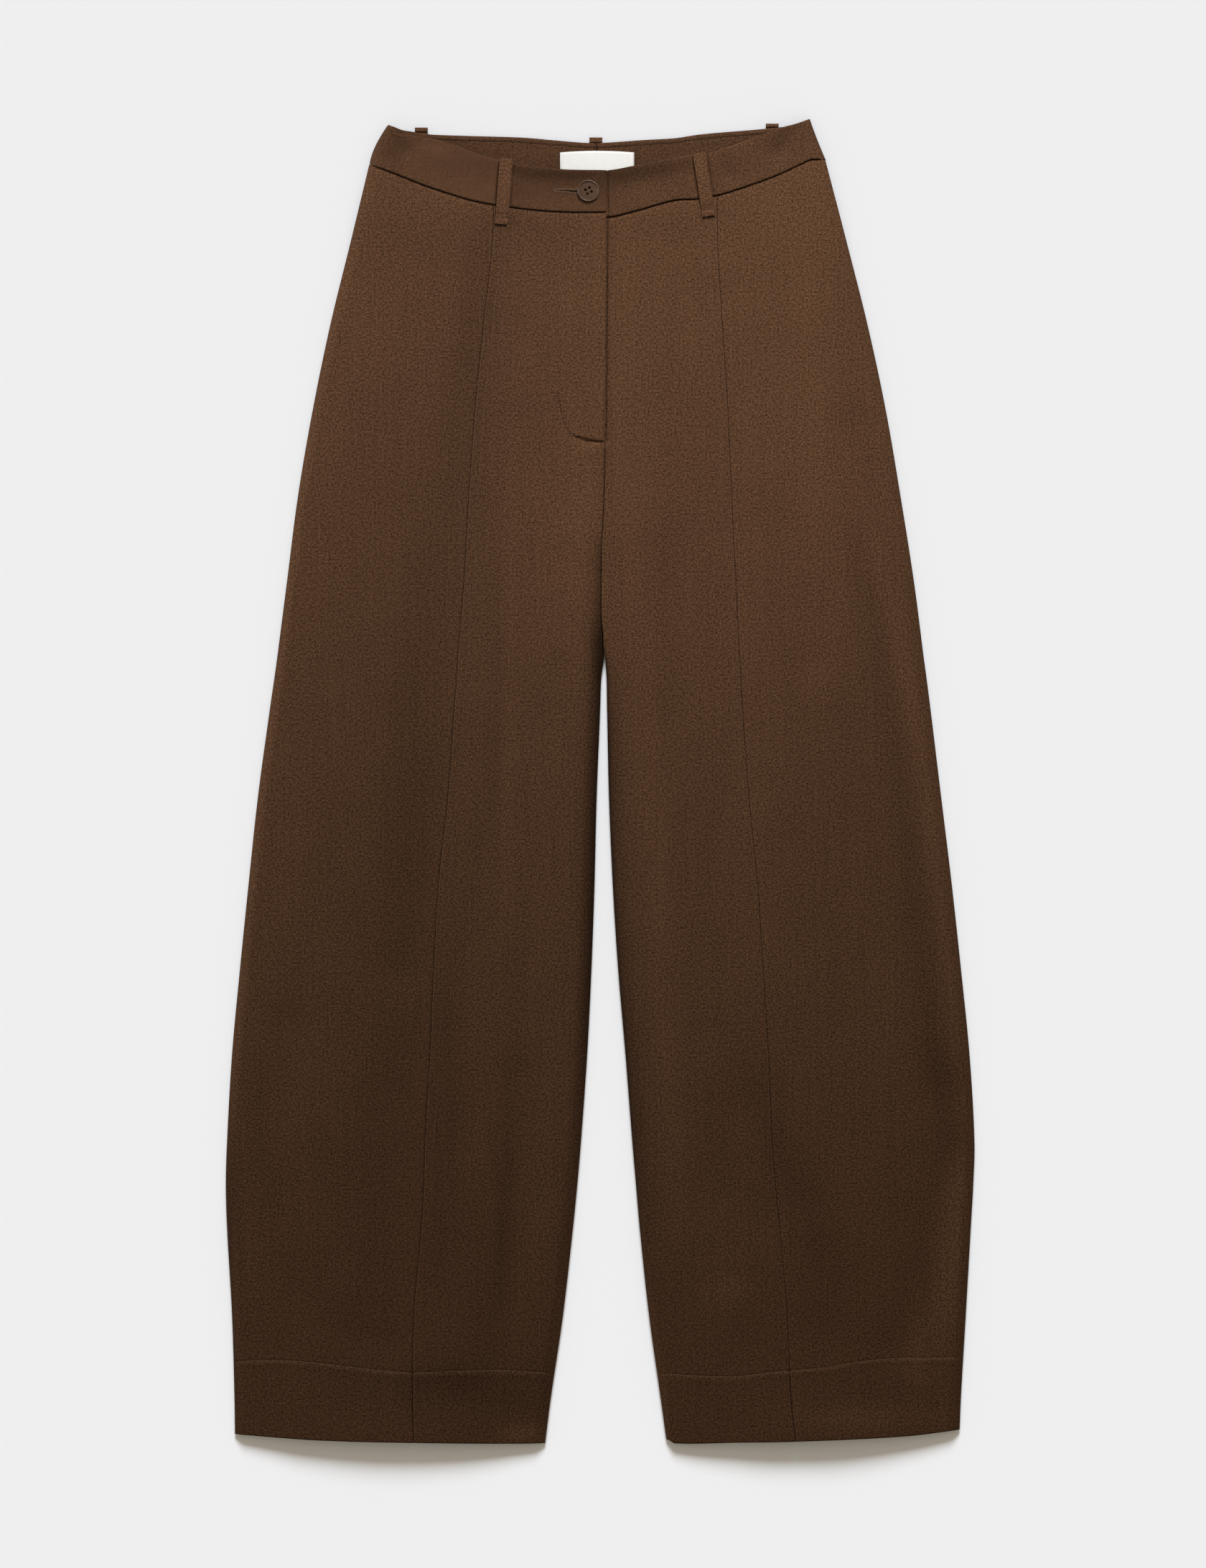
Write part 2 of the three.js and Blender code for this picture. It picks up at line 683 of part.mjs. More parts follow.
const trousers = new THREE.Group();
for (const side of [rightSide, leftSide]) {
  trousers.add(frontPanel(side, "centre"));
  trousers.add(frontPanel(side, "side"));
  trousers.add(backPanel(side));
  trousers.add(frontBand(side));
  trousers.add(backStrip(`waistband_back_${side.name}`, side, outerStrip));
  trousers.add(backStrip(`waistband_facing_${side.name}`, side, facingStrip));
}
trousers.add(frontLoop(rightSide, frontLoops[0]));
trousers.add(frontLoop(leftSide, frontLoops[1]));
for (const loop of backLoops) {
  trousers.add(backLoop(loop));
}
trousers.add(makeLabel());
trousers.add(makeButton());

export default trousers;
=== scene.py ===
from collections import namedtuple

import bmesh
import bpy
import numpy as np
from mathutils import Matrix, Vector, noise


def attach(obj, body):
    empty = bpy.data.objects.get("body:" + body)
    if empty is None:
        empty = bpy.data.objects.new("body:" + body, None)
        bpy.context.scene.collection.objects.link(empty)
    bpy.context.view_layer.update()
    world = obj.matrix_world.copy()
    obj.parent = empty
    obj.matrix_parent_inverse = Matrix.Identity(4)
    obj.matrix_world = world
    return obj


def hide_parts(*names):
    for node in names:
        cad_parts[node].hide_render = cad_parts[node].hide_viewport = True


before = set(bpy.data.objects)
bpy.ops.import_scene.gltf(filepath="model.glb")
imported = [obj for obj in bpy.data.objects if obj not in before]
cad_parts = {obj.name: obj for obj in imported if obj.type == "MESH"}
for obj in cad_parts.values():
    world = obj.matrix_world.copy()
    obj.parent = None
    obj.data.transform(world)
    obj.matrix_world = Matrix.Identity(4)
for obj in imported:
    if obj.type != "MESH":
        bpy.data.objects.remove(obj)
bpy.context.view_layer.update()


# Camera
# The trousers are seen from straight above through a long lens, so that the waist and both
# hems fill the height of the picture with a narrow margin of table round them.
seen_height = 1.2698
lens = 150
cloth_level = 0.008
picture_middle = (0.0023, -0.0026)
camera_data = bpy.data.cameras.new("camera")
camera_data.lens = lens
camera = bpy.data.objects.new("camera", camera_data)
bpy.context.collection.objects.link(camera)
camera.location = (*picture_middle, cloth_level + seen_height * lens / camera_data.sensor_width)
bpy.context.scene.camera = camera


# Table and lights
# A pale matt table. Soft lamps past the waist and at both sides light the cloth alone, which
# darkens toward the hems. A sun and a wide sky light the table, with short shadows.
table_size = 14
table_drop = 0.0002
table_colour = (0.87, 0.87, 0.87, 1)
room_colour, room_light = (1, 0.92, 0.8, 1), 0.15

table_mesh = bpy.data.meshes.new("table")
bm = bmesh.new()
bmesh.ops.create_grid(bm, x_segments=1, y_segments=1, size=table_size / 2)
bmesh.ops.translate(bm, verts=bm.verts, vec=(0, 0, -table_drop))
bm.to_mesh(table_mesh)
bm.free()
table = bpy.data.objects.new("table", table_mesh)
bpy.context.collection.objects.link(table)
table.visible_diffuse = False  # the pale table throws no light back up on the cloth

table_finish = bpy.data.materials.new("matt_table")
table_finish.use_nodes = True
board = table_finish.node_tree.nodes["Principled BSDF"]
board.inputs["Base Color"].default_value = table_colour
board.inputs["Roughness"].default_value = 0.95
board.inputs["Specular IOR Level"].default_value = 0.0
table_mesh.materials.append(table_finish)

world = bpy.data.worlds.new("studio")
world.use_nodes = True
world.node_tree.nodes["Background"].inputs["Color"].default_value = room_colour
world.node_tree.nodes["Background"].inputs["Strength"].default_value = room_light
bpy.context.scene.world = world
bpy.context.scene.view_settings.view_transform = "Standard"


def lamp(name, energy, size, place, aim=(0, 0, 0), shape="SQUARE"):
    """A lamp aimed at a point, which lights everything but the table."""
    data = bpy.data.lights.new(name, "AREA")
    data.energy, data.size, data.shape = energy, size, shape
    set_lamp(name, data, place, aim, "EXCLUDE")


def sun(name, energy, angle, place, colour):
    """A sun that lights the table alone. Its light is softer with a wider angle."""
    data = bpy.data.lights.new(name, "SUN")
    data.energy, data.angle, data.color = energy, angle, colour
    set_lamp(name, data, place, (0, 0, 0), "INCLUDE")


def set_lamp(name, data, place, aim, reaches):
    item = bpy.data.objects.new(name, data)
    item.location = place
    item.rotation_euler = (Vector(aim) - Vector(place)).to_track_quat("-Z", "Y").to_euler()
    bpy.context.collection.objects.link(item)
    lit = bpy.data.collections.new(name + "_reach")
    lit.objects.link(table)
    lit.collection_objects[0].light_linking.link_state = reaches
    item.light_linking.receiver_collection = lit


lamp("cloth_lamp", 18.5, 0.6, (0.2, 1.1, 0.85), (0.05, 0.3, 0), "DISK")
lamp("left_lamp", 20.0, 0.5, (-1.5, 0.55, 0.28))
lamp("right_lamp", 3.5, 0.5, (1.5, 0.55, 0.28))
sun("table_lamp", 4.88, 0.36, (0, 1.0, 0.5), (0.853, 0.908, 1))
sun("table_sky", 0.8, 3.1, (0, 0, 1), (1, 0.88, 0.7))


# Back panels
# One twill panel a leg, cut full length. Each lies flat on the table with the fronts on it,
# and both its long edges turn up to the side seam and the inseam.
mm = 0.001
cloth = 1.2
hem_layers = 2.2
hem_depth = 58
seam_gap = 0.3
meeting_gap = 0.03
waist_lift = 2
lift_levels = (400, 460)
crotch_levels, left_crotch_levels = (165, 205), (88, 112)
hem_level, hem_rows_end = -536, (-469, -340)
band_level, band_rows_start, band_gap = 480, 250, 0.25
centre_front = 5
centre_back = -3
back_roll = 4
back_turn_up = 2.2

Leg = namedtuple("Leg", "y outer seam inner")
right_leg = [Leg(*row) for row in (
    (-540, -296, -151, -45),
    (-500, -296.5, -152, -40),
    (-432, -298.5, -151, -30),
    (-362, -302.5, -145, -22),
    (-327, -303.5, -143, -18.5),
    (-292, -302.5, -142, -15.5),
    (-222, -298.5, -138, -10.5),
    (-152, -292, -135, -7),
    (-83, -285, -131, -4.5),
    (-13, -277.5, -123.5, -2.8),
    (57, -268, -118.5, 0),
    (84.5, -264, -116.3, 1),
    (99, -262, -115.5, 2.8),
    (161, -254, -110.5, 1.5),
    (231, -245, -106.5, 3),
    (301, -233, -101.5, 4),
    (371, -218.5, -94.5, 4.5),
    (440, -201.5, -87, 5),
    (500, -187, -87, 5),
)]
left_leg = [Leg(*row) for row in (
    (-540, 291, 159, 54.5),
    (-500, 292.5, 154.5, 49),
    (-432, 296.5, 151.5, 39.5),
    (-362, 300.5, 145.5, 32),
    (-327, 302.5, 142, 29),
    (-292, 303.5, 139.5, 26),
    (-222, 299.5, 136.5, 20.5),
    (-152, 292.5, 132, 14.5),
    (-83, 285, 127.5, 10.1),
    (-13, 276.5, 120.5, 7.1),
    (57, 268, 115.5, 5.6),
    (84.5, 264.5, 113.8, 5.1),
    (99, 262.5, 113, 4.1),
    (161, 254.5, 110, 1.8),
    (231, 243.5, 106.5, 3.3),
    (301, 231.5, 103.5, 4.3),
    (371, 216.5, 99, 4.8),
    (440, 199, 95, 5.3),
    (503, 182.5, 95, 5.3),
)]

Mark = namedtuple("Mark", "x y")
hem = [Mark(*row) for row in (
    (-296, -529.5), (-231, -534), (-151, -536), (-45, -537), (54, -534),
    (61, -537), (111, -536), (159, -535), (247, -531), (291, -526),
)]
right_band_seam = [Mark(*row) for row in (
    (-187, 499.5), (-167, 492), (-133, 479), (-98, 468.5), (-54, 462), (-26, 460), (5, 460),
)]
left_band_seam = [Mark(*row) for row in (
    (-30, 456), (6, 456), (30, 461.5), (61, 470), (80, 471),
    (101, 475.5), (140, 489), (163, 499.5), (171, 503), (183, 503),
)]
right_band_top = [Mark(*row) for row in (
    (-173, 530.4), (-171.4, 531.4), (-169.4, 530.4), (-166.4, 526.8), (-162.8, 524.7), (-151, 523),
    (-137, 520.4), (-125.6, 517.4), (-114, 513.4), (-97, 507), (-70, 500), (-33, 495), (4, 494),
)]
left_band_top = [Mark(*row) for row in (
    (-30, 494.2), (6, 494.2), (28, 498), (69, 506), (86, 508),
    (114, 517), (145, 528.5), (161, 533), (170, 536.5),
)]
back_band_top = [Mark(*row) for row in (
    (-173, 531.4), (-168.6, 530.7), (-160.5, 527.6), (-152, 526.2), (-139, 524.1), (-114, 523),
    (-64, 521.5), (-41, 519.6), (-12, 517.2), (2, 517.2), (37, 519.6), (61, 521), (81, 524),
    (133, 528.5), (153, 531), (170, 536.5),
)]
back_band_seam = [Mark(*row) for row in (
    (-187, 499.5), (-130, 490), (-70, 484.5), (-3, 482), (70, 485), (130, 492), (183, 503),
)]


def curve(rows, where, what):
    """A smooth curve through two columns of a table, flat past its ends."""
    at = np.array([getattr(row, where) for row in rows], float)
    values = np.array([getattr(row, what) for row in rows], float)
    order = np.arange(len(at))
    before, after = np.maximum(order - 1, 0), np.minimum(order + 1, len(at) - 1)
    slope = (values[after] - values[before]) / (at[after] - at[before])

    def value(position):
        i = np.clip(np.searchsorted(at, position) - 1, 0, len(at) - 2)
        span = at[i + 1] - at[i]
        t = np.clip((position - at[i]) / span, 0, 1)
        ease = t * t * (3 - 2 * t)
        bend = t * (1 - t) * span * ((1 - t) * slope[i] - t * slope[i + 1])
        return values[i] * (1 - ease) + values[i + 1] * ease + bend

    return value


def smooth(position, start, end):
    """0 up to start, 1 past end, and a soft step between them."""
    t = np.clip((position - start) / (end - start), 0, 1)
    return t * t * (3 - 2 * t)


def mix(a, b, share):
    return a + (b - a) * share


def hump(distance, width):
    """1 on a line and soft at both sides of it, for grooves, ridges and tones."""
    return np.exp(-((distance / width) ** 2))


# The line where both legs meet, from the crotch up to the fly
crease_marks = [Mark(*row) for row in (
    (3.5, 96), (3.3, 103), (2.9, 109), (2.3, 120), (1.1, 133), (1.1, 179), (1, 191), (1.9, 204),
    (2.6, 220), (3.2, 237), (3.5, 262), (4, 300),
)]
crease = curve(crease_marks, "y", "x")
crease_start, crease_end = (96, 105), (275, 301)

Side = namedtuple("Side", "name inward outer seam inner band_seam band_top seam_x top_x bulge")


def make_side(name, inward, leg, band_seam, band_top, bulge):
    """One side's outlines. Inward is the direction from the side seam to the centre."""
    end = 0 if inward > 0 else -1
    inseam = curve(leg, "y", "inner")

    def inner(y):
        on_crease = smooth(y, *crease_start) * (1 - smooth(y, *crease_end))
        return mix(inseam(y), crease(y), on_crease)

    return Side(
        name, inward, curve(leg, "y", "outer"), curve(leg, "y", "seam"), inner,
        curve(band_seam, "x", "y"), curve(band_top, "x", "y"),
        band_seam[end].x, band_top[end].x, bulge,
    )


right = make_side("right", 1, right_leg, right_band_seam, right_band_top, 2.5)
left = make_side("left", -1, left_leg, left_band_seam, left_band_top, -0.5)
hem_y = curve(hem, "x", "y")
back_top_y = curve(back_band_top, "x", "y")
back_seam_y = curve(back_band_seam, "x", "y")


def lift(y):
    return waist_lift * smooth(y, *lift_levels)


def legs_apart(y):
    """0 where the fronts meet flat at the centre, 1 where the legs have rolled inner edges."""
    return 1 - smooth(y, *crotch_levels)


def row_y(level, x, top_y):
    """A row follows the hem near the hem and the waistband seam near the waist."""
    near_hem = 1 - smooth(level, *hem_rows_end)
    near_band = smooth(level, band_rows_start, band_level)
    to_band = top_y(x) - band_gap - band_level
    return level + (hem_y(x) - hem_level) * near_hem + to_band * near_band


def steps(*zones):
    """Places in a line, from zones of (start, end, number of steps)."""
    places = [np.linspace(start, end, count, endpoint=False) for start, end, count in zones]
    return np.append(np.concatenate(places), zones[-1][1])


def edge_drop(distance, radius):
    """How far a rounded edge has dropped at a distance from its end."""
    inside = np.clip(radius - distance, 0, radius)
    return radius - np.sqrt(radius * radius - inside * inside)


def lay_cloth(name, columns, rows, place, upward=True):
    """A flat grid is laid out and each of its points is moved to its place, in millimetres.
    Its weave map keeps the place each point had in the flat cloth, and its painted shading
    says how much lighter or darker the colour is painted there, as painted light and shade."""
    bm = bmesh.new()
    bmesh.ops.create_grid(bm, x_segments=columns, y_segments=rows, size=0.5)
    flat = np.array([vert.co for vert in bm.verts])
    column = np.rint((flat[:, 0] + 0.5) * columns).astype(int)
    row = np.rint((flat[:, 1] + 0.5) * rows).astype(int)
    x, y, z, along_weft, *tone = place(column, row)
    for vert, point in zip(bm.verts, np.column_stack((x, y, z)) * mm):
        vert.co = point
    if tone:
        painted_shading_layer = bm.verts.layers.float.new("nap")
        for vert, value in zip(bm.verts, tone[0]):
            vert[painted_shading_layer] = value
    weave = bm.loops.layers.uv.new("weave")
    thread_places = np.column_stack((along_weft, y)) * mm
    bm.normal_update()
    if (sum(face.normal.z for face in bm.faces) > 0) != upward:
        bmesh.ops.reverse_faces(bm, faces=bm.faces)
    for face in bm.faces:
        face.smooth = True
        for loop in face.loops:
            loop[weave].uv = thread_places[loop.vert.index]
    return bm


def make_cloth(name, columns, rows, place, finish, node, thickness, hem_at=None, upward=True):
    """A finished piece of cloth that stands for one solid."""
    bm = lay_cloth(name, columns, rows, place, upward)
    piece = add_piece(name, bm, finish, "cloth", node)
    give_thickness(piece, thickness, hem_at)
    return piece


def give_thickness(piece, thickness, hem_at=None):
    """The cloth gets its thickness on its inner side, with a second layer in a hem."""
    wall = piece.modifiers.new("thickness", "SOLIDIFY")
    wall.offset = -1
    wall.thickness = thickness * mm
    if hem_at is not None:
        wall.thickness = hem_layers * mm
        wall.vertex_group = "hem"
        wall.thickness_vertex_group = thickness / hem_layers
        group = piece.vertex_groups.new(name="hem")
        for vert in piece.data.vertices:
            if vert.co.y < (hem_at(vert.co.x / mm) + hem_depth) * mm:
                group.add([vert.index], 1, "REPLACE")


def add_piece(name, bm, finish, slot, *nodes):
    """Makes the object, which rides with the trousers and stands for its solids."""
    mesh = bpy.data.meshes.new(name)
    bm.to_mesh(mesh)
    bm.free()
    mesh.materials.append(finish)
    piece = bpy.data.objects.new(name, mesh)
    bpy.context.collection.objects.link(piece)
    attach(piece, "root")
    if nodes:
        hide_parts(*nodes)
    return piece


class Nodes:
    """Places and joins the nodes of one material or group."""

    def __init__(self, tree):
        self.tree = tree

    def fill(self, sockets, **inputs):
        """Links or sets sockets by their names, or by their numbers after an underscore."""
        for key, value in inputs.items():
            socket = sockets[int(key[1:]) if key[0] == "_" else key.replace("_", " ")]
            if isinstance(value, bpy.types.NodeSocket):
                self.tree.links.new(value, socket)
            else:
                socket.default_value = value

    def add(self, kind, settings=(), **inputs):
        node = self.tree.nodes.new(kind)
        for key, value in dict(settings).items():
            setattr(node, key, value)
        self.fill(node.inputs, **inputs)
        return node.outputs

    def math(self, operation, a, b=0.0, c=0.0):
        return self.add("ShaderNodeMath", {"operation": operation}, _0=a, _1=b, _2=c)[0]

    def blend(self, share, a, b):
        return self.add("ShaderNodeMix", {"data_type": "RGBA"}, _0=share, _6=a, _7=b)[2]

    def cloud(self, place, scale=1.0, detail=1.0, rough=0.5, stretch=None):
        """Soft noise, finer with a larger scale, which a stretch draws out along the yarn."""
        if stretch:
            place = self.add("ShaderNodeMapping", Vector=place, Scale=stretch)[0]
        made = self.add(
            "ShaderNodeTexNoise", Vector=place, Scale=scale, Detail=detail, Roughness=rough,
        )
        return made["Fac"]

    def weave_map(self):
        return self.add("ShaderNodeUVMap", {"uv_map": "weave"})["UV"]


def new_finish(name):
    """A material, the maker of its nodes and its surface shader's sockets."""
    finish = bpy.data.materials.new(name)
    finish.use_nodes = True
    return finish, Nodes(finish.node_tree), finish.node_tree.nodes["Principled BSDF"].inputs


def make_twill():
    """Woven twill: fine slanting wales, broken up by the yarn and flecked light and dark."""
    group = bpy.data.node_groups.new("twill", "ShaderNodeTree")
    socket = group.interface.new_socket
    for name, value in (
        ("Lean", 0.9), ("Pitch", 0.0011), ("Wale", 0.5), ("Fleck", 0.5), ("Mottle", 0.2),
    ):
        socket(name, in_out="INPUT", socket_type="NodeSocketFloat").default_value = value
    for name in ("Dark Yarn", "Light Yarn"):
        socket(name, in_out="INPUT", socket_type="NodeSocketColor")
    socket("Color", in_out="OUTPUT", socket_type="NodeSocketColor")
    socket("Roughness", in_out="OUTPUT", socket_type="NodeSocketFloat")
    socket("Height", in_out="OUTPUT", socket_type="NodeSocketFloat")
    n = Nodes(group)
    given = n.add("NodeGroupInput")
    flat = n.weave_map()
    turned = n.add(
        "ShaderNodeVectorRotate", {"rotation_type": "Z_AXIS", "invert": True},
        Vector=flat, Angle=given["Lean"],
    )[0]
    scale = n.math("DIVIDE", 1.0, given["Pitch"])
    threads = n.add("ShaderNodeVectorMath", {"operation": "SCALE"}, _0=turned, Scale=scale)[0]
    # One wale is one unit wide here, and the yarn's floats are about three units long
    wander = n.cloud(threads, stretch=(0.3, 0.9, 1))
    across = n.add("ShaderNodeSeparateXYZ", Vector=threads)["Y"]
    bent = n.math("MULTIPLY_ADD", wander, 0.35, across)
    wale = n.math("SINE", n.math("MULTIPLY", bent, 6.2832))
    wale = n.math("MULTIPLY_ADD", wale, 0.5, 0.5)
    floats = n.cloud(threads, detail=2.0, rough=0.6, stretch=(1.3, 1.9, 1))
    share = n.math("MULTIPLY_ADD", n.math("SUBTRACT", wale, 0.5), given["Wale"], light_yarn_share)
    for field, strength in (
        (floats, 0.7),
        (n.cloud(threads, stretch=(0.2, 0.55, 1)), 0.1),
        (n.cloud(flat, detail=2.0, stretch=(420, 9, 1)), 0.2),
        (n.cloud(flat, 600.0, rough=0.6), given["Fleck"]),
        (n.cloud(flat, 1500.0, rough=0.6), 2.2),
        (n.cloud(flat, 24.0, 3.0, 0.6), given["Mottle"]),
    ):
        share = n.math("MULTIPLY_ADD", n.math("SUBTRACT", field, 0.5), strength, share)
    share = n.add("ShaderNodeClamp", Value=share)[0]
    # The painted shading attribute scales the yarn colour: painted light and shade from the cloth
    # pieces.
    nap = n.math("ADD", n.add("ShaderNodeAttribute", {"attribute_name": "nap"})["Fac"], 1.0)
    colour = n.blend(share, given["Dark Yarn"], given["Light Yarn"])
    colour = n.add("ShaderNodeVectorMath", {"operation": "SCALE"}, _0=colour, Scale=nap)[0]
    rough = n.math("MULTIPLY_ADD", share, -0.12, 0.92)
    height = n.math("MULTIPLY_ADD", wale, 0.6, n.math("MULTIPLY", floats, 0.8))
    n.add("NodeGroupOutput", Color=colour, Roughness=rough, Height=height)
    return group


light_yarn_share = 0.47
twill = make_twill()
yarn_colours = ((0.026, 0.0118, 0.005, 1), (0.137, 0.067, 0.0345, 1))


def twill_cloth(name, lean, tint=1.0, wale=0.4):
    """The trousers' brown twill. Lean turns its wales to the grain of one piece."""
    finish, n, surface = new_finish(name)
    dark, light = ((*(tint * part for part in yarn[:3]), 1) for yarn in yarn_colours)
    weave = n.add(
        "ShaderNodeGroup", {"node_tree": twill},
        Lean=lean, Wale=wale, Fleck=1.8, Mottle=0.14, Dark_Yarn=dark, Light_Yarn=light,
    )
    bump = n.add("ShaderNodeBump", Strength=0.5, Distance=0.0004, Height=weave["Height"])[0]
    n.fill(
        surface, Base_Color=weave["Color"], Roughness=weave["Roughness"], Normal=bump,
        Specular_IOR_Level=0.04, Sheen_Weight=0.02, Sheen_Roughness=0.5,
        Sheen_Tint=(0.75, 0.6, 0.5, 1),
    )
    return finish


def back_panel(side, finish):
    levels = steps((hem_level, -533.6, 4), (-533.6, 60, 84), (60, 225, 30), (225, band_level, 40))
    roll_steps, flat_steps = 6, 40
    columns = 2 * roll_steps + flat_steps

    def inner_edge(y):
        shift = (centre_back - centre_front) * smooth(y, crotch_levels[1], lift_levels[1])
        return side.inner(y) - side.inward * meeting_gap + shift

    def place(column, row):
        level = levels[row]
        from_inner = column > columns / 2
        step = np.where(from_inner, columns - column, column)
        angle = np.pi / 2 * np.minimum(step, roll_steps) / roll_steps
        share = np.maximum(step - roll_steps, 0) / flat_steps
        inset = back_roll * (1 - np.cos(angle))
        y = level
        for _ in range(4):
            inner, outer = inner_edge(y), side.outer(y)
            reach = inset + share * (np.abs(inner - outer) - 2 * back_roll)
            x = np.where(from_inner, inner - side.inward * reach, outer + side.inward * reach)
            y = row_y(level, x, back_seam_y)
        turned_up = np.where(from_inner, legs_apart(y), 1) * (1 - np.sin(angle))
        return x, y, lift(y) + back_turn_up * turned_up, x

    return make_cloth(
        f"{side.name}_back_panel", columns, len(levels) - 1, place, finish, f"back_{side.name}",
        cloth, hem_y, upward=False,
    )


back_cloth = {
    "right": twill_cloth("twill_back_right", 0.75),
    "left": twill_cloth("twill_back_left", 0.8),
}
back_panels = {side.name: back_panel(side, back_cloth[side.name]) for side in (right, left)}


# Front panels
# Two twill panels a leg, joined down the middle of the leg. The front rolls over the side
# seam and the inseam on to the back. It has the soft folds of worn-in wool cloth, and
# painted light and shade in bands and patches, and along each leg's inner edge.
fly_bottom = 273
fly_underlap = 12
band_underlap = 30
fly_raise, band_raise, band_lift_levels = 1.7, 2.7, (400, 455)

Loft = namedtuple("Loft", "y edge middle")
loft = [Loft(*row) for row in (
    (-540, 5.2, 12.4),
    (-480, 6.4, 10.5),
    (-400, 7.2, 8.6),
    (0, 7.2, 8.4),
    (160, 7.2, 8.6),
    (300, 7.2, 9.4),
    (400, 7.2, 10.6),
    (450, 7.4, 11.8),
    (540, 7.6, 11.8),
)]
loft_edge = curve(loft, "y", "edge")
loft_middle = curve(loft, "y", "middle")

# Each fold follows a curve from its start past its bend to its end
Fold = namedtuple("Fold", "x0 y0 x1 y1 x2 y2 width height")
folds = [Fold(*row) for row in (
    (-96, 358, -140, 190, -160, -150, 22, -2),
    (-253, -199, -286, -455, -170, -455, 22, -1.8),
    (-62, -240, -60, -350, -79, -465, 18, -1.6),
    (-205, -250, -200, -330, -196, -410, 26, 1.4),
    (-14, 262, -18, 200, -34, 110, 15, 1.4),
    (95, 392, 118, 250, 174, 101, 18, -2),
    (203, 283, 205, 20, 280, -250, 20, -2),
    (280, -250, 285, -390, 240, -460, 20, -1.7),
    (66, 430, 62, 240, 63, 50, 12, -1),
    (112, -270, 104, -302, 112, -332, 24, -1.6),
    (112, -395, 114, -410, 108, -428, 20, 1.4),
    (168, -370, 170, -395, 166, -415, 20, 1.2),
)]


def distance_to_fold(fold, x, y):
    """Distance from each point to a fold's curve, through a few short chords."""
    t = np.linspace(0, 1, 11)
    line_x = (1 - t) ** 2 * fold.x0 + 2 * t * (1 - t) * fold.x1 + t * t * fold.x2
    line_y = (1 - t) ** 2 * fold.y0 + 2 * t * (1 - t) * fold.y1 + t * t * fold.y2
    return distance_to_path(list(zip(line_x, line_y)), x, y)


def add_folds(height, folds, x, y):
    for fold in folds:
        height = height + fold.height * hump(distance_to_fold(fold, x, y), fold.width)
    return height


def distance_to_path(path, x, y):
    line_x, line_y = np.array(path, float).T
    nearest = np.full(np.shape(x), np.inf)
    for i in range(len(line_x) - 1):
        chord_x, chord_y = line_x[i + 1] - line_x[i], line_y[i + 1] - line_y[i]
        reach_x, reach_y = x - line_x[i], y - line_y[i]
        along = (reach_x * chord_x + reach_y * chord_y) / (chord_x ** 2 + chord_y ** 2)
        along = np.clip(along, 0, 1)
        away = np.hypot(reach_x - along * chord_x, reach_y - along * chord_y)
        nearest = np.minimum(nearest, away)
    return nearest


def cloth_height(side, x, y):
    """Height of the front cloth with its loft and folds, before the fly is raised."""
    outer = side.outer(y)
    across = np.clip((x - outer) / (side.inner(y) - outer), 0, 1)
    arch = mix(np.sin(across * np.pi / 2), np.sin(across * np.pi), legs_apart(y))
    return add_folds(mix(loft_edge(y), loft_middle(y), arch), folds, x, y)


def fly_lift(side, x, y):
    """The right front is raised where it laps over the left one."""
    if side.name == "left":
        return 0 * x
    near_band = smooth(y, *band_lift_levels)
    rise = mix(fly_raise, band_raise, near_band) * smooth(y, fly_bottom - 35, fly_bottom - 3)
    return rise * smooth(x, mix(-34, -62, near_band), mix(-14, -band_underlap, near_band))


def ripple(x, y, long, wide, seed):
    """Soft uneven ripples, about long and wide millimetres each way."""
    flat_x, flat_y = np.broadcast_arrays(x, y)
    values = [
        noise.noise((a / wide, b / long, seed)) for a, b in zip(flat_x.ravel(), flat_y.ravel())
    ]
    return np.array(values).reshape(flat_x.shape)
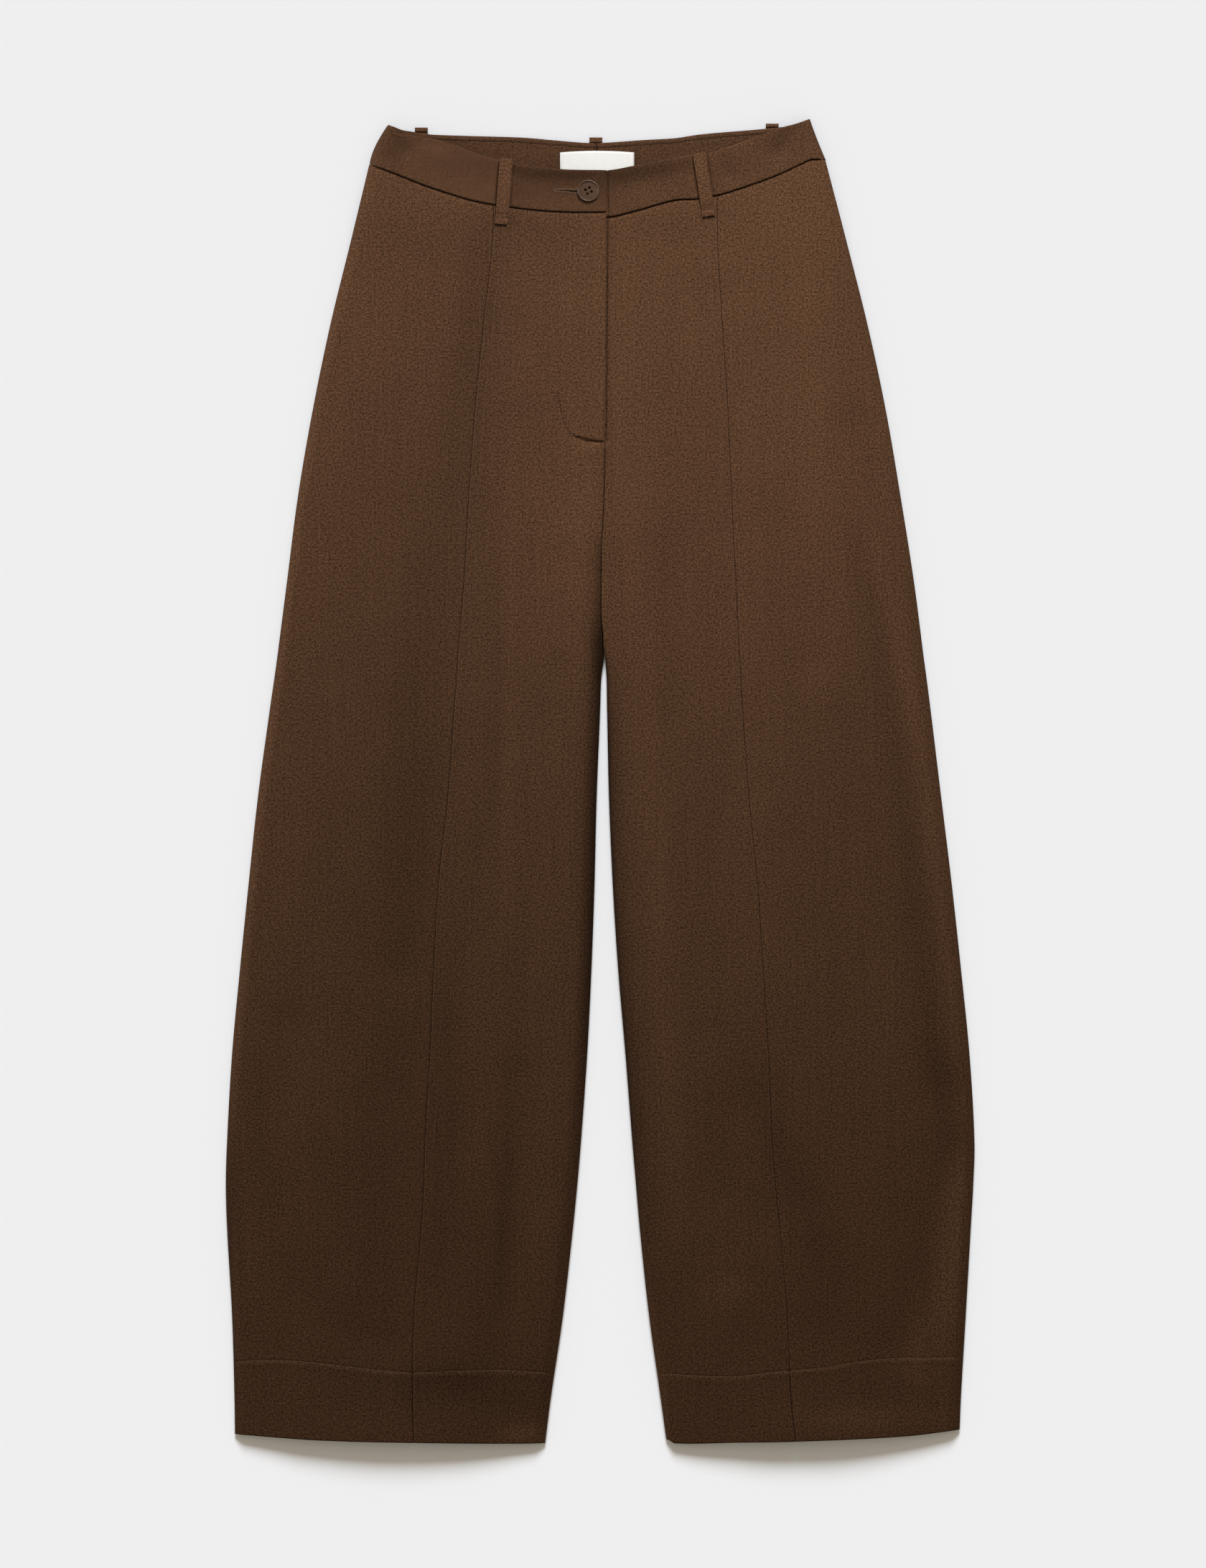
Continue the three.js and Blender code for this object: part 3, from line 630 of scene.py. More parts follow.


# Painted light and shade for the soft folds: bands that run down the legs, each with rows
# of its height, middle, width and tone, and then round patches
ShadeBand = namedtuple("ShadeBand", "y x width tone")
painted_shade_bands = [[ShadeBand(*row) for row in rows] for rows in (
    ((-480, -190, 22, 0), (-397, -182, 24, -0.05), (-260, -170, 26, -0.12), (-161, -156, 26, -0.16),
     (-12, -142, 25, -0.2), (90, -130, 26, -0.12), (174, -116, 26, -0.14), (298, -102, 26, -0.2),
     (380, -97, 25, -0.2), (434, -92, 24, -0.17), (480, -88, 20, -0.1)),
    ((60, -22, 14, 0), (110, -20, 14, 0.15), (150, -16, 14, 0.2), (200, -13, 13, 0.2),
     (262, -9, 11, 0.22), (276, -9, 11, 0)),
    ((250, -50, 30, 0), (380, -52, 30, -0.07), (440, -52, 30, -0.07)),
    ((-480, -215, 50, 0), (-430, -215, 50, -0.06), (-250, -215, 50, -0.1), (0, -185, 50, -0.1),
     (440, -150, 45, -0.08)),
    ((-480, -100, 40, 0), (-430, -100, 40, -0.08), (-330, -97, 36, 0), (-250, -95, 36, -0.04),
     (60, -80, 30, 0)),
    ((-400, 66, 12, 0), (-300, 60, 12, 0.12), (-223, 54, 12, 0.13), (-100, 46, 13, 0.13),
     (12, 38, 14, 0.12), (100, 32, 16, 0.1), (200, 22, 18, 0.12), (290, 16, 18, 0.1),
     (400, 14, 16, 0.05)),
    ((60, 180, 25, 0), (136, 180, 25, 0.08), (359, 183, 25, 0.1), (430, 180, 25, 0)),
    ((-200, 121, 20, 0), (-136, 121, 20, 0.07), (248, 121, 20, 0.07), (330, 121, 20, 0)),
    ((-330, 284, 12, 0), (-266, 279, 12, -0.2), (-198, 268, 13, -0.14), (0, 241, 13, -0.14),
     (236, 212, 14, -0.1), (330, 205, 14, 0)),
    ((-260, 292, 8, 0), (-200, 289, 8, 0.14), (0, 264, 9, 0.16), (136, 235, 9, 0.15),
     (236, 210, 9, 0.08), (300, 200, 9, 0)),
    ((-410, 185, 18, 0), (-347, 168, 18, -0.15), (-273, 136, 20, -0.14), (-200, 125, 20, 0)),
    ((-500, 280, 14, 0.12), (-434, 280, 14, 0.28), (-322, 290, 10, 0.22), (-290, 295, 8, 0)),
    ((-140, -76, 6, 0), (-60, -76, 6, 0.08), (200, -73, 6, 0.1), (300, -70, 6, 0)),
    ((-440, -82, 9, 0), (-400, -80, 9, -0.14), (-322, -77, 9, -0.17), (-240, -72, 9, -0.05),
     (-140, -65, 9, -0.05), (-60, -62, 9, 0)),
    ((-430, -132, 18, 0), (-380, -130, 18, -0.1), (-297, -127, 18, -0.15), (-173, -124, 16, -0.12),
     (-60, -100, 14, -0.08), (50, -84, 12, -0.13), (160, -78, 10, -0.05), (220, -76, 10, 0)),
    ((-500, -297, 6, -0.2), (-420, -302, 6, -0.42), (-320, -301, 6, -0.35), (-220, -299, 6, 0)),
)]
Patch = namedtuple("Patch", "x y long high tone")
painted_shade_patches = [Patch(*row) for row in (
    (-105, -488, 62, 20, -0.26), (-190, -474, 50, 30, -0.12), (195, 362, 20, 60, -0.13),
    (-150, 440, 60, 28, -0.08), (-40, 448, 45, 14, -0.1), (60, 452, 50, 14, -0.1),
    (-42, 190, 22, 55, 0.1), (53, 250, 26, 40, 0.06), (97, 124, 26, 50, 0.06),
    (158, 273, 26, 30, 0.06), (134, -345, 22, 18, -0.1), (185, -435, 26, 24, -0.1),
    (257, -470, 10, 45, 0.16), (-4, 106, 6, 20, -0.25), (-182, -432, 20, 12, 0.12),
    (-62, -529, 20, 9, 0.5), (212, -516, 62, 12, 0.3), (109, -409, 20, 12, 0.15),
)]
# How far in the painted shade of each leg's inner edge reaches, and how dark it is by height
EdgeShade = namedtuple("EdgeShade", "y tone")
painted_edge_shade = {
    "right": (8.5, [EdgeShade(*row) for row in (
        (-440, 0), (-300, -0.35), (-150, -0.7), (20, -0.75), (110, -0.72), (140, -0.35), (190, 0),
    )]),
    "left": (7, [EdgeShade(*row) for row in (
        (-460, 0), (-400, -0.25), (-300, -0.55), (-150, -0.62), (20, -0.62), (80, -0.4), (110, 0),
        (200, 0),
    )]),
}


def spot(patch, x, y):
    """1 in the middle of a patch, and soft round it."""
    return np.exp(-(((x - patch.x) / patch.long) ** 2 + ((y - patch.y) / patch.high) ** 2))


def add_painted_patches(patches, tone, x, y):
    for patch in patches:
        tone = tone + patch.tone * spot(patch, x, y)
    return tone


def panel_painted_shading(side, x, y):
    """The front panels' painted light and shade."""
    tone = 0 * x
    for rows in painted_shade_bands:
        middle, width, strength = (curve(rows, "y", what)(y) for what in ("x", "width", "tone"))
        tone = tone + strength * hump(x - middle, width)
    tone = add_painted_patches(painted_shade_patches, tone, x, y)
    reach, rows = painted_edge_shade[side.name]
    inset = np.maximum((side.inner(y) - x) * side.inward, 0)
    return tone + curve(rows, "y", "tone")(y) * np.exp(-((inset / reach) ** 1.5))


# The hem's stitch line, as it lies
hem_marks = [Mark(*row) for row in (
    (-296, -470.6), (-260, -469.5), (-223, -472.4), (-184, -477), (-153, -479.4), (-119, -478.2),
    (-80, -477.6), (-36, -480), (50, -480.5), (84, -482.3), (112, -482.3), (141, -478.8),
    (180, -475.3), (209, -470.6), (234, -468.3), (257, -467.7), (295, -467.2),
)]
hem_line = curve(hem_marks, "x", "y")

# Rows of stitching, as distances from the leg seam, and where the second row starts
seam_rows = (1.2, 7.6)
second_row_start = -300
fly_line = [Mark(*row) for row in (
    (-33.8, 315), (-31, 296), (-27.6, 286), (-23, 281), (-18, 277.8), (-12, 275.4), (4, 273.5),
)]
fly_end = fly_line[4:]

# Grooves that sewing pulls in the cloth, and the swelling over the end of the fly
Groove = namedtuple("Groove", "depth width")
row_groove, hem_groove = Groove(0.16, 0.6), Groove(0.45, 0.7)
band_groove = Groove(1.3, 1.6)
fly_end_groove, centre_groove = Groove(2.4, 1.1), Groove(2.2, 0.75)
fly_swelling = Patch(-6, 267, 8, 5, 0.9)


def pull(groove, distance):
    return groove.depth * hump(distance, groove.width)


def front_surface(side, x, y):
    """Height of the front panels' upper face, with the marks that sewing leaves in it."""
    height = cloth_height(side, x, y) + fly_lift(side, x, y)
    height = height + 0.4 * ripple(x, y, 90, 45, 3.1) + 0.12 * ripple(x, y, 30, 22, 8.7)
    from_seam = (x - side.seam(y)) * side.inward
    away = np.abs(from_seam)
    below_hem = 1 - smooth(y, -485, -470)
    height = height - (0.5 + 0.4 * below_hem) * hump(away, 0.5)
    height = height + 0.12 * ripple(away, y, 6.5, 14, 5.5) * np.exp(-away / 6)
    above = smooth(y, second_row_start, second_row_start + 60)
    for offset, share in ((seam_rows[0], 1), (seam_rows[1], above)):
        height = height - share * pull(row_groove, from_seam - offset)
    from_hem = y - hem_line(x)
    height = height - pull(hem_groove, from_hem) + 0.2 * hump(from_hem + 3, 2.5)
    height = height + 0.14 * ripple(x, from_hem, 24, 8, 2.2) * np.exp(-np.abs(from_hem) / 12)
    if side.name == "right":
        height = height - pull(fly_end_groove, distance_to_path(fly_end, x, y))
        height = height + fly_swelling.tone * spot(fly_swelling, x, y)
    else:
        in_fly = smooth(y, fly_bottom - 2, fly_bottom + 6)
        height = height - in_fly * pull(centre_groove, x - side.inner(y) - 0.1)
    return height - pull(band_groove, side.band_seam(x) - y)


def round_roll(roll, angle):
    """How much more cloth lies round a rolled edge than shows from above."""
    return roll * (angle + np.cos(angle) - np.pi / 2)


def front_panel(side, part, finish):
    levels = steps(
        (hem_level, hem_level + 1.2, 5), (hem_level + 1.2, -484, 18), (-484, -470, 20),
        (-470, 60, 150), (60, 225, 52), (225, 268, 14), (268, 282, 20), (282, 300, 8),
        (300, 472, 52), (472, band_level, 9),
    )
    # Distances from the leg seam and from the rolled edge where the columns lie close together
    near_seam = np.array([12, 10.4, 9.2, 8.4, 7.6, 6.8, 6, 4.8, 3.6, 2.6, 1.9, 1.2, 0.7, 0.3, 0])
    on_side = part == "side"
    if on_side:
        roll, near_edge = 9, np.array([9.0, 10, 12])
    elif side.name == "right":
        roll, near_edge = 11, np.array([11.0, 12, 14])
    else:
        roll = 7
        near_edge = np.array([7.0, 8.2, 9.3, 10.2, 10.8, 11.2, 11.6, 12, 12.4, 12.8, 13.4, 14.4])
    roll_steps, flat_steps = 12, 32
    flat_start = roll_steps + len(near_edge) - 1
    columns = flat_start + flat_steps + len(near_seam) - 1
    inward = side.inward if on_side else -side.inward

    def inner_edge(y):
        lap = fly_underlap * smooth(y, fly_bottom - 6, fly_bottom + 8) if side.name == "left" else 0
        return side.inner(y) + side.inward * (lap - meeting_gap)

    edge = side.outer if on_side else inner_edge

    def place(column, row):
        level = levels[row]
        angle = np.pi / 2 * np.minimum(column, roll_steps) / roll_steps
        beyond = near_edge[np.clip(column - roll_steps, 0, len(near_edge) - 1)]
        share = np.clip((column - flat_start) / flat_steps, 0, 1)
        nearest = near_seam[np.clip(column - flat_start - flat_steps, 0, len(near_seam) - 1)]
        y = level
        for _ in range(4):
            width = np.abs(side.seam(y) - inward * 0.05 - edge(y))
            flat = mix(beyond, width - near_seam[0], share)
            inset = np.where(column <= roll_steps, roll * (1 - np.cos(angle)), flat)
            inset = np.where(column > flat_start + flat_steps, width - nearest, inset)
            x = edge(y) + inward * inset
            y = row_y(level, x, side.band_seam)
        rolled = np.ones_like(y) if on_side else legs_apart(y)
        if (side.name, part) == ("left", "centre"):
            rolled = 1 - smooth(y, *left_crotch_levels)
        top = front_surface(side, x, y)
        seat = lift(y) + back_turn_up + seam_gap
        z = mix(top, seat + (top - seat) * (1 - np.cos(angle) ** 2.2), rolled)
        z = z - (1 - rolled) * (edge_drop(inset, 0.8) + hump(inset, 0.6))
        z = z - edge_drop(y - hem_y(x), 1.1)
        along_weft = x + inward * (round_roll(roll, angle) * rolled)
        return x, y, z, along_weft, panel_painted_shading(side, x, y)

    return make_cloth(
        f"{side.name}_front_{part}_panel", columns, len(levels) - 1, place, finish,
        f"front_{side.name}_{part}", cloth, hem_y,
    )


front_cloth = {
    ("right", "side"): twill_cloth("twill_front_right_side", 0.93),
    ("right", "centre"): twill_cloth("twill_front_right_centre", 0.98),
    ("left", "centre"): twill_cloth("twill_front_left_centre", 0.93),
    ("left", "side"): twill_cloth("twill_front_left_side", 1.2),
}
front_panels = {
    (side.name, part): front_panel(side, part, front_cloth[side.name, part])
    for side in (right, left) for part in ("centre", "side")
}


# Stitching on the front panels
# Polyester thread sewn by machine in short stitches: brown along both leg seams and paler round
# both hems. The nearly black stitches in the hook at the foot of the fly are painted shade for its
# crease.
def make_thread(name, colour):
    """Twisted thread: a slant of light and dark along each stitch."""
    finish, n, surface = new_finish(name)
    twist = n.add(
        "ShaderNodeTexWave", {"bands_direction": "DIAGONAL"},
        Vector=n.add("ShaderNodeTexCoord")["Object"], Scale=700.0, Distortion=2.0,
    )["Color"]
    dark, light = ((*(part * tint for part in colour), 1) for tint in (0.55, 1.3))
    n.fill(
        surface, Base_Color=n.blend(twist, dark, light), Roughness=0.6, Specular_IOR_Level=0.06,
    )
    return finish


thread = make_thread("brown_thread", (0.125, 0.069, 0.042))
dark_thread = make_thread("dark_thread", (0.009, 0.0045, 0.003))
hem_thread = make_thread("hem_thread", (0.24, 0.15, 0.095))


def sew(name, rows, height, finish, pitch=2.0, length=1.45, width=0.55):
    """Stitches along each row, half sunk in the cloth. A row is a list of marks."""
    small = bmesh.new()
    bmesh.ops.create_uvsphere(small, u_segments=6, v_segments=4, radius=0.5)
    bmesh.ops.rotate(small, verts=small.verts, matrix=Matrix.Rotation(np.pi / 2, 3, "Y"))
    for face in small.faces:
        face.smooth = True
    stitch = bpy.data.meshes.new(name + "_stitch")
    bm = bmesh.new()
    for row in rows:
        points = np.array([(mark[0], mark[1]) for mark in row], float)
        reach = np.append(0, np.cumsum(np.hypot(*np.diff(points, axis=0).T)))
        at = np.arange(pitch / 2, reach[-1], pitch)
        ends = [
            np.column_stack([np.interp(at + half, reach, points[:, k]) for k in (0, 1)])
            for half in (-length / 2, length / 2)
        ]
        tops = [height(end[:, 0], end[:, 1]) for end in ends]
        for start, end, low, high in zip(*ends, *tops):
            run = Vector((*(end - start), high - low))
            turn = run.to_track_quat("X", "Z").to_matrix().to_4x4()
            middle = Vector((*((start + end) / 2), (low + high) / 2 + width * 0.15))
            size = Matrix.Diagonal((run.length, width, width * 0.8, 1))
            laid = small.copy()
            laid.transform(Matrix.Scale(mm, 4) @ Matrix.Translation(middle) @ turn @ size)
            laid.to_mesh(stitch)
            laid.free()
            bm.from_mesh(stitch)
    small.free()
    bpy.data.meshes.remove(stitch)
    return add_piece(name, bm, finish, "cloth")


def along_seam(side, offset, start, end):
    """A row of marks beside the leg seam."""
    ys = np.linspace(start, end, 200)
    return list(zip(side.seam(ys) + side.inward * offset, ys))


def along_hem(start, end):
    xs = np.linspace(start, end, 60)
    return list(zip(xs, hem_line(xs)))


def smooth_line(marks, count=60):
    """More points along a row, on a smooth curve through its marks."""
    reach = np.append(0, np.cumsum(np.hypot(*np.diff(np.array(marks, float), axis=0).T)))
    Step = namedtuple("Step", "r x y")
    table = [Step(r, *mark) for r, mark in zip(reach, marks)]
    at = np.linspace(0, reach[-1], count)
    return list(zip(curve(table, "r", "x")(at), curve(table, "r", "y")(at)))


def sew_front(side, part, rows, finish):
    name = f"{side.name}_front_{part}_stitching"
    return sew(name, rows, lambda x, y: front_surface(side, x, y), finish)


seam_top, seam_foot, hem_row_inset = {"right": 463, "left": 471}, -534, 7
stitching = {}
for side in (right, left):
    hem_seam = side.seam(hem_level + hem_depth)
    hem_inner = side.inner(hem_level + hem_depth) - side.inward * hem_row_inset
    hem_outer = side.outer(hem_level + hem_depth) + side.inward * hem_row_inset
    centre_rows = [
        along_seam(side, seam_rows[0], seam_foot, seam_top[side.name]),
        along_seam(side, seam_rows[1], second_row_start, seam_top[side.name]),
    ]
    stitching[side.name, "centre"] = [sew_front(side, "centre", centre_rows, thread)]
    for part, away, end in (("centre", 2, hem_inner), ("side", -2, hem_outer)):
        hem_row = along_hem(*sorted((hem_seam + side.inward * away, end)))
        sewn = sew_front(side, part + "_hem", [hem_row], hem_thread)
        stitching.setdefault((side.name, part), []).append(sewn)

# Real stitching, made nearly black as painted shade for the crease it sits in.
fly_stitching = sew(
    "fly_stitching", [smooth_line(fly_line)], lambda x, y: front_surface(right, x, y) + 0.05,
    dark_thread, pitch=2.2, length=1.2, width=0.75,
)

for (name, part), panel in front_panels.items():
    sewn = stitching[name, part] + ([fly_stitching] if (name, part) == ("right", "centre") else [])


# Back waistband, its facing and the label
# Each half is a flat strip of twill with a second strip for a facing, topstitched below its
# top edge. A plain white woven label is sewn to the facing at the centre back.
facing_drop = 1.5
facing_top = waist_lift + 2 * cloth + seam_gap
facing_row = 2.6
band_across = steps((0, 1.2, 4), (1.2, 33, 14), (33, 37, 16))


def back_strip(name, side, inset, below, top, finish, node, row_depth=0.0):
    share_up = band_across / band_across[-1]
    columns = 64
    end = centre_back - side.inward * 0.05

    def place(column, row):
        up = share_up[row]
        bulge = side.bulge * 4 * up * (1 - up)
        rolled = mix(side.seam_x, side.top_x, up) - side.inward * bulge
        x = mix(rolled + side.inward * inset, end, column / columns)
        low = back_seam_y(x) + band_gap
        high = back_top_y(x) - below
        y = mix(low, high, up)
        z = top - edge_drop(high - y, 0.9) - edge_drop(np.abs(x - end), 1.1)
        z = z - row_depth * hump(high - y - facing_row, 0.6)
        z = z + 0.12 * ripple(x, y, 20, 14, 1.3)
        return x, y, z, x

    return make_cloth(name, columns, len(band_across) - 1, place, finish, node, cloth - 0.15)


band_cloth = {
    "right": twill_cloth("twill_waistband_right", 0.97, 0.86, 0.9),
    "left": twill_cloth("twill_waistband_left", 1.05, 0.88, 0.8),
}
# The facing is the twill at about two thirds of its brightness: painted shade for the waistband's
# inside.
shaded_facing_cloth = twill_cloth("twill_facing", 0.6, 0.68)
back_bands, facings, facing_rows = {}, {}, {}
for side in (right, left):
    back_bands[side.name] = back_strip(
        f"{side.name}_back_waistband", side, 3.4, 0, waist_lift + cloth,
        band_cloth[side.name], f"waistband_back_{side.name}",
    )
    facings[side.name] = back_strip(
        f"{side.name}_back_facing", side, 5, facing_drop, facing_top,
        shaded_facing_cloth, f"waistband_facing_{side.name}", 0.35,
    )
    xs = np.linspace(side.seam_x + side.inward * 24, centre_back + side.inward * -1, 80)
    # The facing's stitches are real, but nearly black: painted shade in the dents along the row.
    facing_rows[side.name] = sew(
        f"{side.name}_facing_stitching", [list(zip(xs, back_top_y(xs) - facing_drop - facing_row))],
        lambda x, y: 0 * x + facing_top - 0.2, dark_thread,
        pitch=1.85, length=1.2, width=0.75,
    )

label_width, label_height, label_bow = 60, 23, 1.4
label_place = Mark(-2.5, 497.5)
label_columns, label_rows = 40, 14


def label_point(column, row):
    share, up = column / label_columns, row / label_rows
    x = label_place.x + (share - 0.5) * label_width
    y = label_place.y + (up - 0.5) * label_height + label_bow * 4 * share * (1 - share) * up
    from_end = np.minimum(share, 1 - share) * label_width
    z = facing_top + 0.9 + 0.25 * np.sin(share * 7 + 1) * up + 0.35 * (1 - smooth(from_end, 4, 5.5))
    return x, y, z - edge_drop(from_end, 0.3), x


def make_label_satin():
    """White satin ribbon: fine raised ribs along it and a slightly yarny white."""
    finish, n, surface = new_finish("white_satin")
    place = n.weave_map()
    ribs = n.add(
        "ShaderNodeTexWave", {"bands_direction": "Y"},
        Vector=place, Scale=620.0, Distortion=0.6, Detail=1.0,
    )["Fac"]
    share = n.math("MULTIPLY_ADD", n.cloud(place, 160.0, 3.0), 0.6, n.math("MULTIPLY", ribs, 0.4))
    n.fill(
        surface, Roughness=0.45,
        Base_Color=n.blend(share, (0.505, 0.495, 0.47, 1), (0.59, 0.58, 0.55, 1)),
        Normal=n.add("ShaderNodeBump", Strength=0.3, Distance=0.0001, Height=ribs)[0],
    )
    return finish


label = add_piece(
    "blank_label", lay_cloth("blank_label", label_columns, label_rows, label_point),
    make_label_satin(), "label", "label",
)
give_thickness(label, 0.5)


# Front waistband
# Each half is a folded band of twill, two layers thick with rounded edges. It rolls round
# the side on to the back, and the right end laps over the left one and is buttoned to it.
folded_band = 2.4
band_seat = 2.2
band_height = 37
front_roll = 10

# Soft dents where the band is pulled at its loops and rolled ends
dents = [Fold(*row) for row in (
    (-68, 490, -45, 485, -12, 485, 7, -2.8),
    (-86, 503, -87, 496, -90, 486, 6, -1.8),
    (-172, 522, -166, 516, -158, 510, 6, -2),
    (-140, 518, -128, 514, -116, 508, 6, -1.2),
    (18, 484, 45, 490, 72, 495, 8, -2),
    (96, 508, 101, 498, 104, 490, 6, -1.4),
    (156, 527, 150, 516, 144, 510, 6, -2),
)]


loop_width = 10.5
Loop = namedtuple("Loop", "side top_x top_y bottom_x bottom_y")
front_loops = [Loop(right, -76, 503.5, -80, 450), Loop(left, 80, 508, 88, 456.5)]


def beside_loops(x, y):
    """1 in the narrow hollow along each side of a front belt loop, 0 away from it."""
    share = 0
    for loop in front_loops:
        along = np.clip((loop.top_y - y) / (loop.top_y - loop.bottom_y), 0, 1)
        from_edge = np.abs(x - mix(loop.top_x, loop.bottom_x, along)) - loop_width / 2
        share = share + hump(from_edge - 0.4, 0.9) * (y < loop.top_y)
    return share


def band_surface(side, x, y):
    """Upper face of the front waistband."""
    height = cloth_height(side, x, y) - cloth + folded_band + fly_lift(side, x, y)
    height = add_folds(height - 1.9 * beside_loops(x, y), dents, x, y)
    return height + 0.2 * ripple(x, y, 26, 34, 4.4)


# Painted shade and painted light on the front waistband, for the shading of its dents, loops and
# rolled ends.
band_painted_shade = [Patch(*row) for row in (
    (-45, 488, 34, 15, -0.4), (0, 490, 26, 13, -0.3), (42, 493, 32, 14, -0.36),
    (-158, 520, 26, 15, -0.16), (-169, 513, 12, 13, -0.22), (-133, 512, 26, 8, 0.1),
    (148, 522, 26, 15, -0.25), (-112, 502, 26, 12, -0.2), (105, 500, 26, 12, -0.15),
)]
lap_groove = Groove(2.4, 1.0)


def front_band(side, finish):
    end = centre_front - 0.3 if side.name == "right" else centre_front - band_underlap
    across = steps((0, 1.4, 6), (1.4, band_height - 1.4, 22), (band_height - 1.4, band_height, 6))
    across = across / band_height
    roll_steps, flat_steps = 12, 230
    near_end = np.array([1.4, 0.9, 0.45, 0.15, 0])
    columns = roll_steps + flat_steps + len(near_end) - 1

    def place(column, row):
        up = across[row]
        edge = mix(side.seam_x, side.top_x, up) - side.inward * side.bulge * 4 * up * (1 - up)
        width = np.abs(end - edge)
        angle = np.pi / 2 * np.minimum(column, roll_steps) / roll_steps
        share = np.clip((column - roll_steps) / flat_steps, 0, 1)
        flat = mix(front_roll, width - near_end[0], share)
        inset = np.where(column <= roll_steps, front_roll * (1 - np.cos(angle)), flat)
        last = near_end[np.clip(column - roll_steps - flat_steps, 0, len(near_end) - 1)]
        inset = np.where(column > roll_steps + flat_steps, width - last, inset)
        x = edge + side.inward * inset
        low, high = side.band_seam(x) + 0.1, side.band_top(x)
        y = mix(low, high, up)
        top = band_surface(side, x, y)
        if side.name == "left":
            top = top - pull(lap_groove, x - centre_front - 0.6)
        top = top - edge_drop(high - y, 1.6) - edge_drop(y - low, 1.5) - edge_drop(width - inset, 1.5)
        z = band_seat + (top - band_seat) * np.sin(angle)
        along_weft = x + side.inward * round_roll(front_roll, angle)
        return x, y, z, along_weft, add_painted_patches(band_painted_shade, 0 * x, x, y)

    piece = make_cloth(
        f"{side.name}_front_waistband", columns, len(across) - 1, place, finish,
        f"waistband_front_{side.name}", folded_band - 0.3,
    )
    return piece


front_bands = {side.name: front_band(side, band_cloth[side.name]) for side in (right, left)}


# Belt loops
# Narrow strips of twill with both edges turned in. The two front loops stand a little off
# the waistband between their folded ends; the back loops show only their tips.
loop_end = 4
BackLoop = namedtuple("BackLoop", "name x top_y")
back_loops = [
    BackLoop("right", -145, 529.6), BackLoop("centre", -3.5, 521.6), BackLoop("left", 139.5, 532.8),
]
loop_cloth = twill_cloth("twill_loops", 0.35, 0.96)
loop_across = steps((0, 0.8, 4), (0.8, 9.7, 8), (9.7, loop_width, 4)) / loop_width


def front_loop(loop):
    side = loop.side
    length = np.hypot(loop.bottom_x - loop.top_x, loop.bottom_y - loop.top_y)
    places = steps(
        (0, 0.9, 4), (0.9, loop_end - 0.4, 5), (loop_end - 0.4, loop_end + 0.4, 4),
        (loop_end + 0.4, length / 2, 16),
    )
    places = np.append(places, length - places[-2::-1])

    def place(column, row):
        s = places[row]
        share = s / length
        middle_x = mix(loop.top_x, loop.bottom_x, share)
        middle_y = mix(loop.top_y, loop.bottom_y, share)
        sideways = (loop_across[column] - 0.5) * loop_width
        x = middle_x + sideways * (loop.top_y - loop.bottom_y) / length
        y = middle_y + sideways * (loop.bottom_x - loop.top_x) / length
        over_panel = smooth(side.band_seam(middle_x) - middle_y, 3, 10)
        base = band_surface(side, middle_x, middle_y) + seam_gap - (folded_band - cloth) * over_panel
        to_end = np.minimum(s, length - s)
        high = base + 1.2 * np.sin(share * np.pi) + cloth
        high = high + cloth * (1 - smooth(length - s, loop_end - 0.4, loop_end + 0.4))
        to_side = np.minimum(loop_across[column], 1 - loop_across[column]) * loop_width
        seams = 0.15 * hump(to_side - 1.5, 0.5)
        return x, y, high - edge_drop(to_side, 0.7) - edge_drop(to_end, 0.9) - seams, x

    piece = make_cloth(
        f"{side.name}_front_belt_loop", len(loop_across) - 1, len(places) - 1, place, loop_cloth,
        f"belt_loop_front_{side.name}", 1.8,
    )


def back_loop(loop):
    """A tip: it comes from under the waistband and folds over just past the top edge."""
    edge = max(back_top_y(loop.x - loop_width / 2), back_top_y(loop.x + loop_width / 2))
    fold_start, fold_top = edge + seam_gap, loop.top_y
    profile = [
        (fold_top - 53.5, 1.6), (fold_top - 30, 1.6), (fold_start - 1, 1.6), (fold_start, 1.65),
        (fold_start + 0.1, 3), (fold_start + 0.3, 3.2), (fold_start + 0.6, 3.25),
        (fold_top - 0.8, 3.25), (fold_top - 0.35, 3.15), (fold_top - 0.1, 2.8), (fold_top, 1.9),
    ]
    ys, zs = np.array(profile).T

    def place(column, row):
        x = loop.x + (loop_across[column] - 0.5) * loop_width
        to_side = np.minimum(loop_across[column], 1 - loop_across[column]) * loop_width
        return x, ys[row], zs[row] - edge_drop(to_side, 0.5), x

    piece = make_cloth(
        f"{loop.name}_back_belt_loop", len(loop_across) - 1, len(profile) - 1, place, loop_cloth,
        f"belt_loop_back_{loop.name}", 1.1,
    )


for loop in front_loops:
    front_loop(loop)
for loop in back_loops:
    back_loop(loop)


# Button and buttonhole
# A dark brown moulded button with a thin raised rim and four holes, sewn to the left
# waistband. It has come through the stitched buttonhole of the right one, which gapes.
button_place = Mark(-9.5, 477)
button_radius, rim_width, button_well = 8.9, 1.7, 1.9
button_segments, hole_segments = 64, 20
hole_radius, hole_reach, hole_turn = 1.15, 2.61, -0.3
rim_profile = (
    (0, 0), (0.9, 0), (1.0, 0.05), (1.4, 0.6), (1.7, 1.2), (1.7, 2.3), (1.55, 2.75), (1.2, 2.98),
    (0.8, 3.0), (0.45, 2.85), (0.25, 2.4), (0.1, 1.98), (0, 1.9),
)


def ring(bm, radius, segments, x=0.0, y=0.0, z=0.0):
    made = bmesh.ops.create_circle(
        bm, segments=segments, radius=radius, matrix=Matrix.Translation((x, y, z))
    )
    return [edge for edge in bm.edges if all(vert in made["verts"] for vert in edge.verts)]


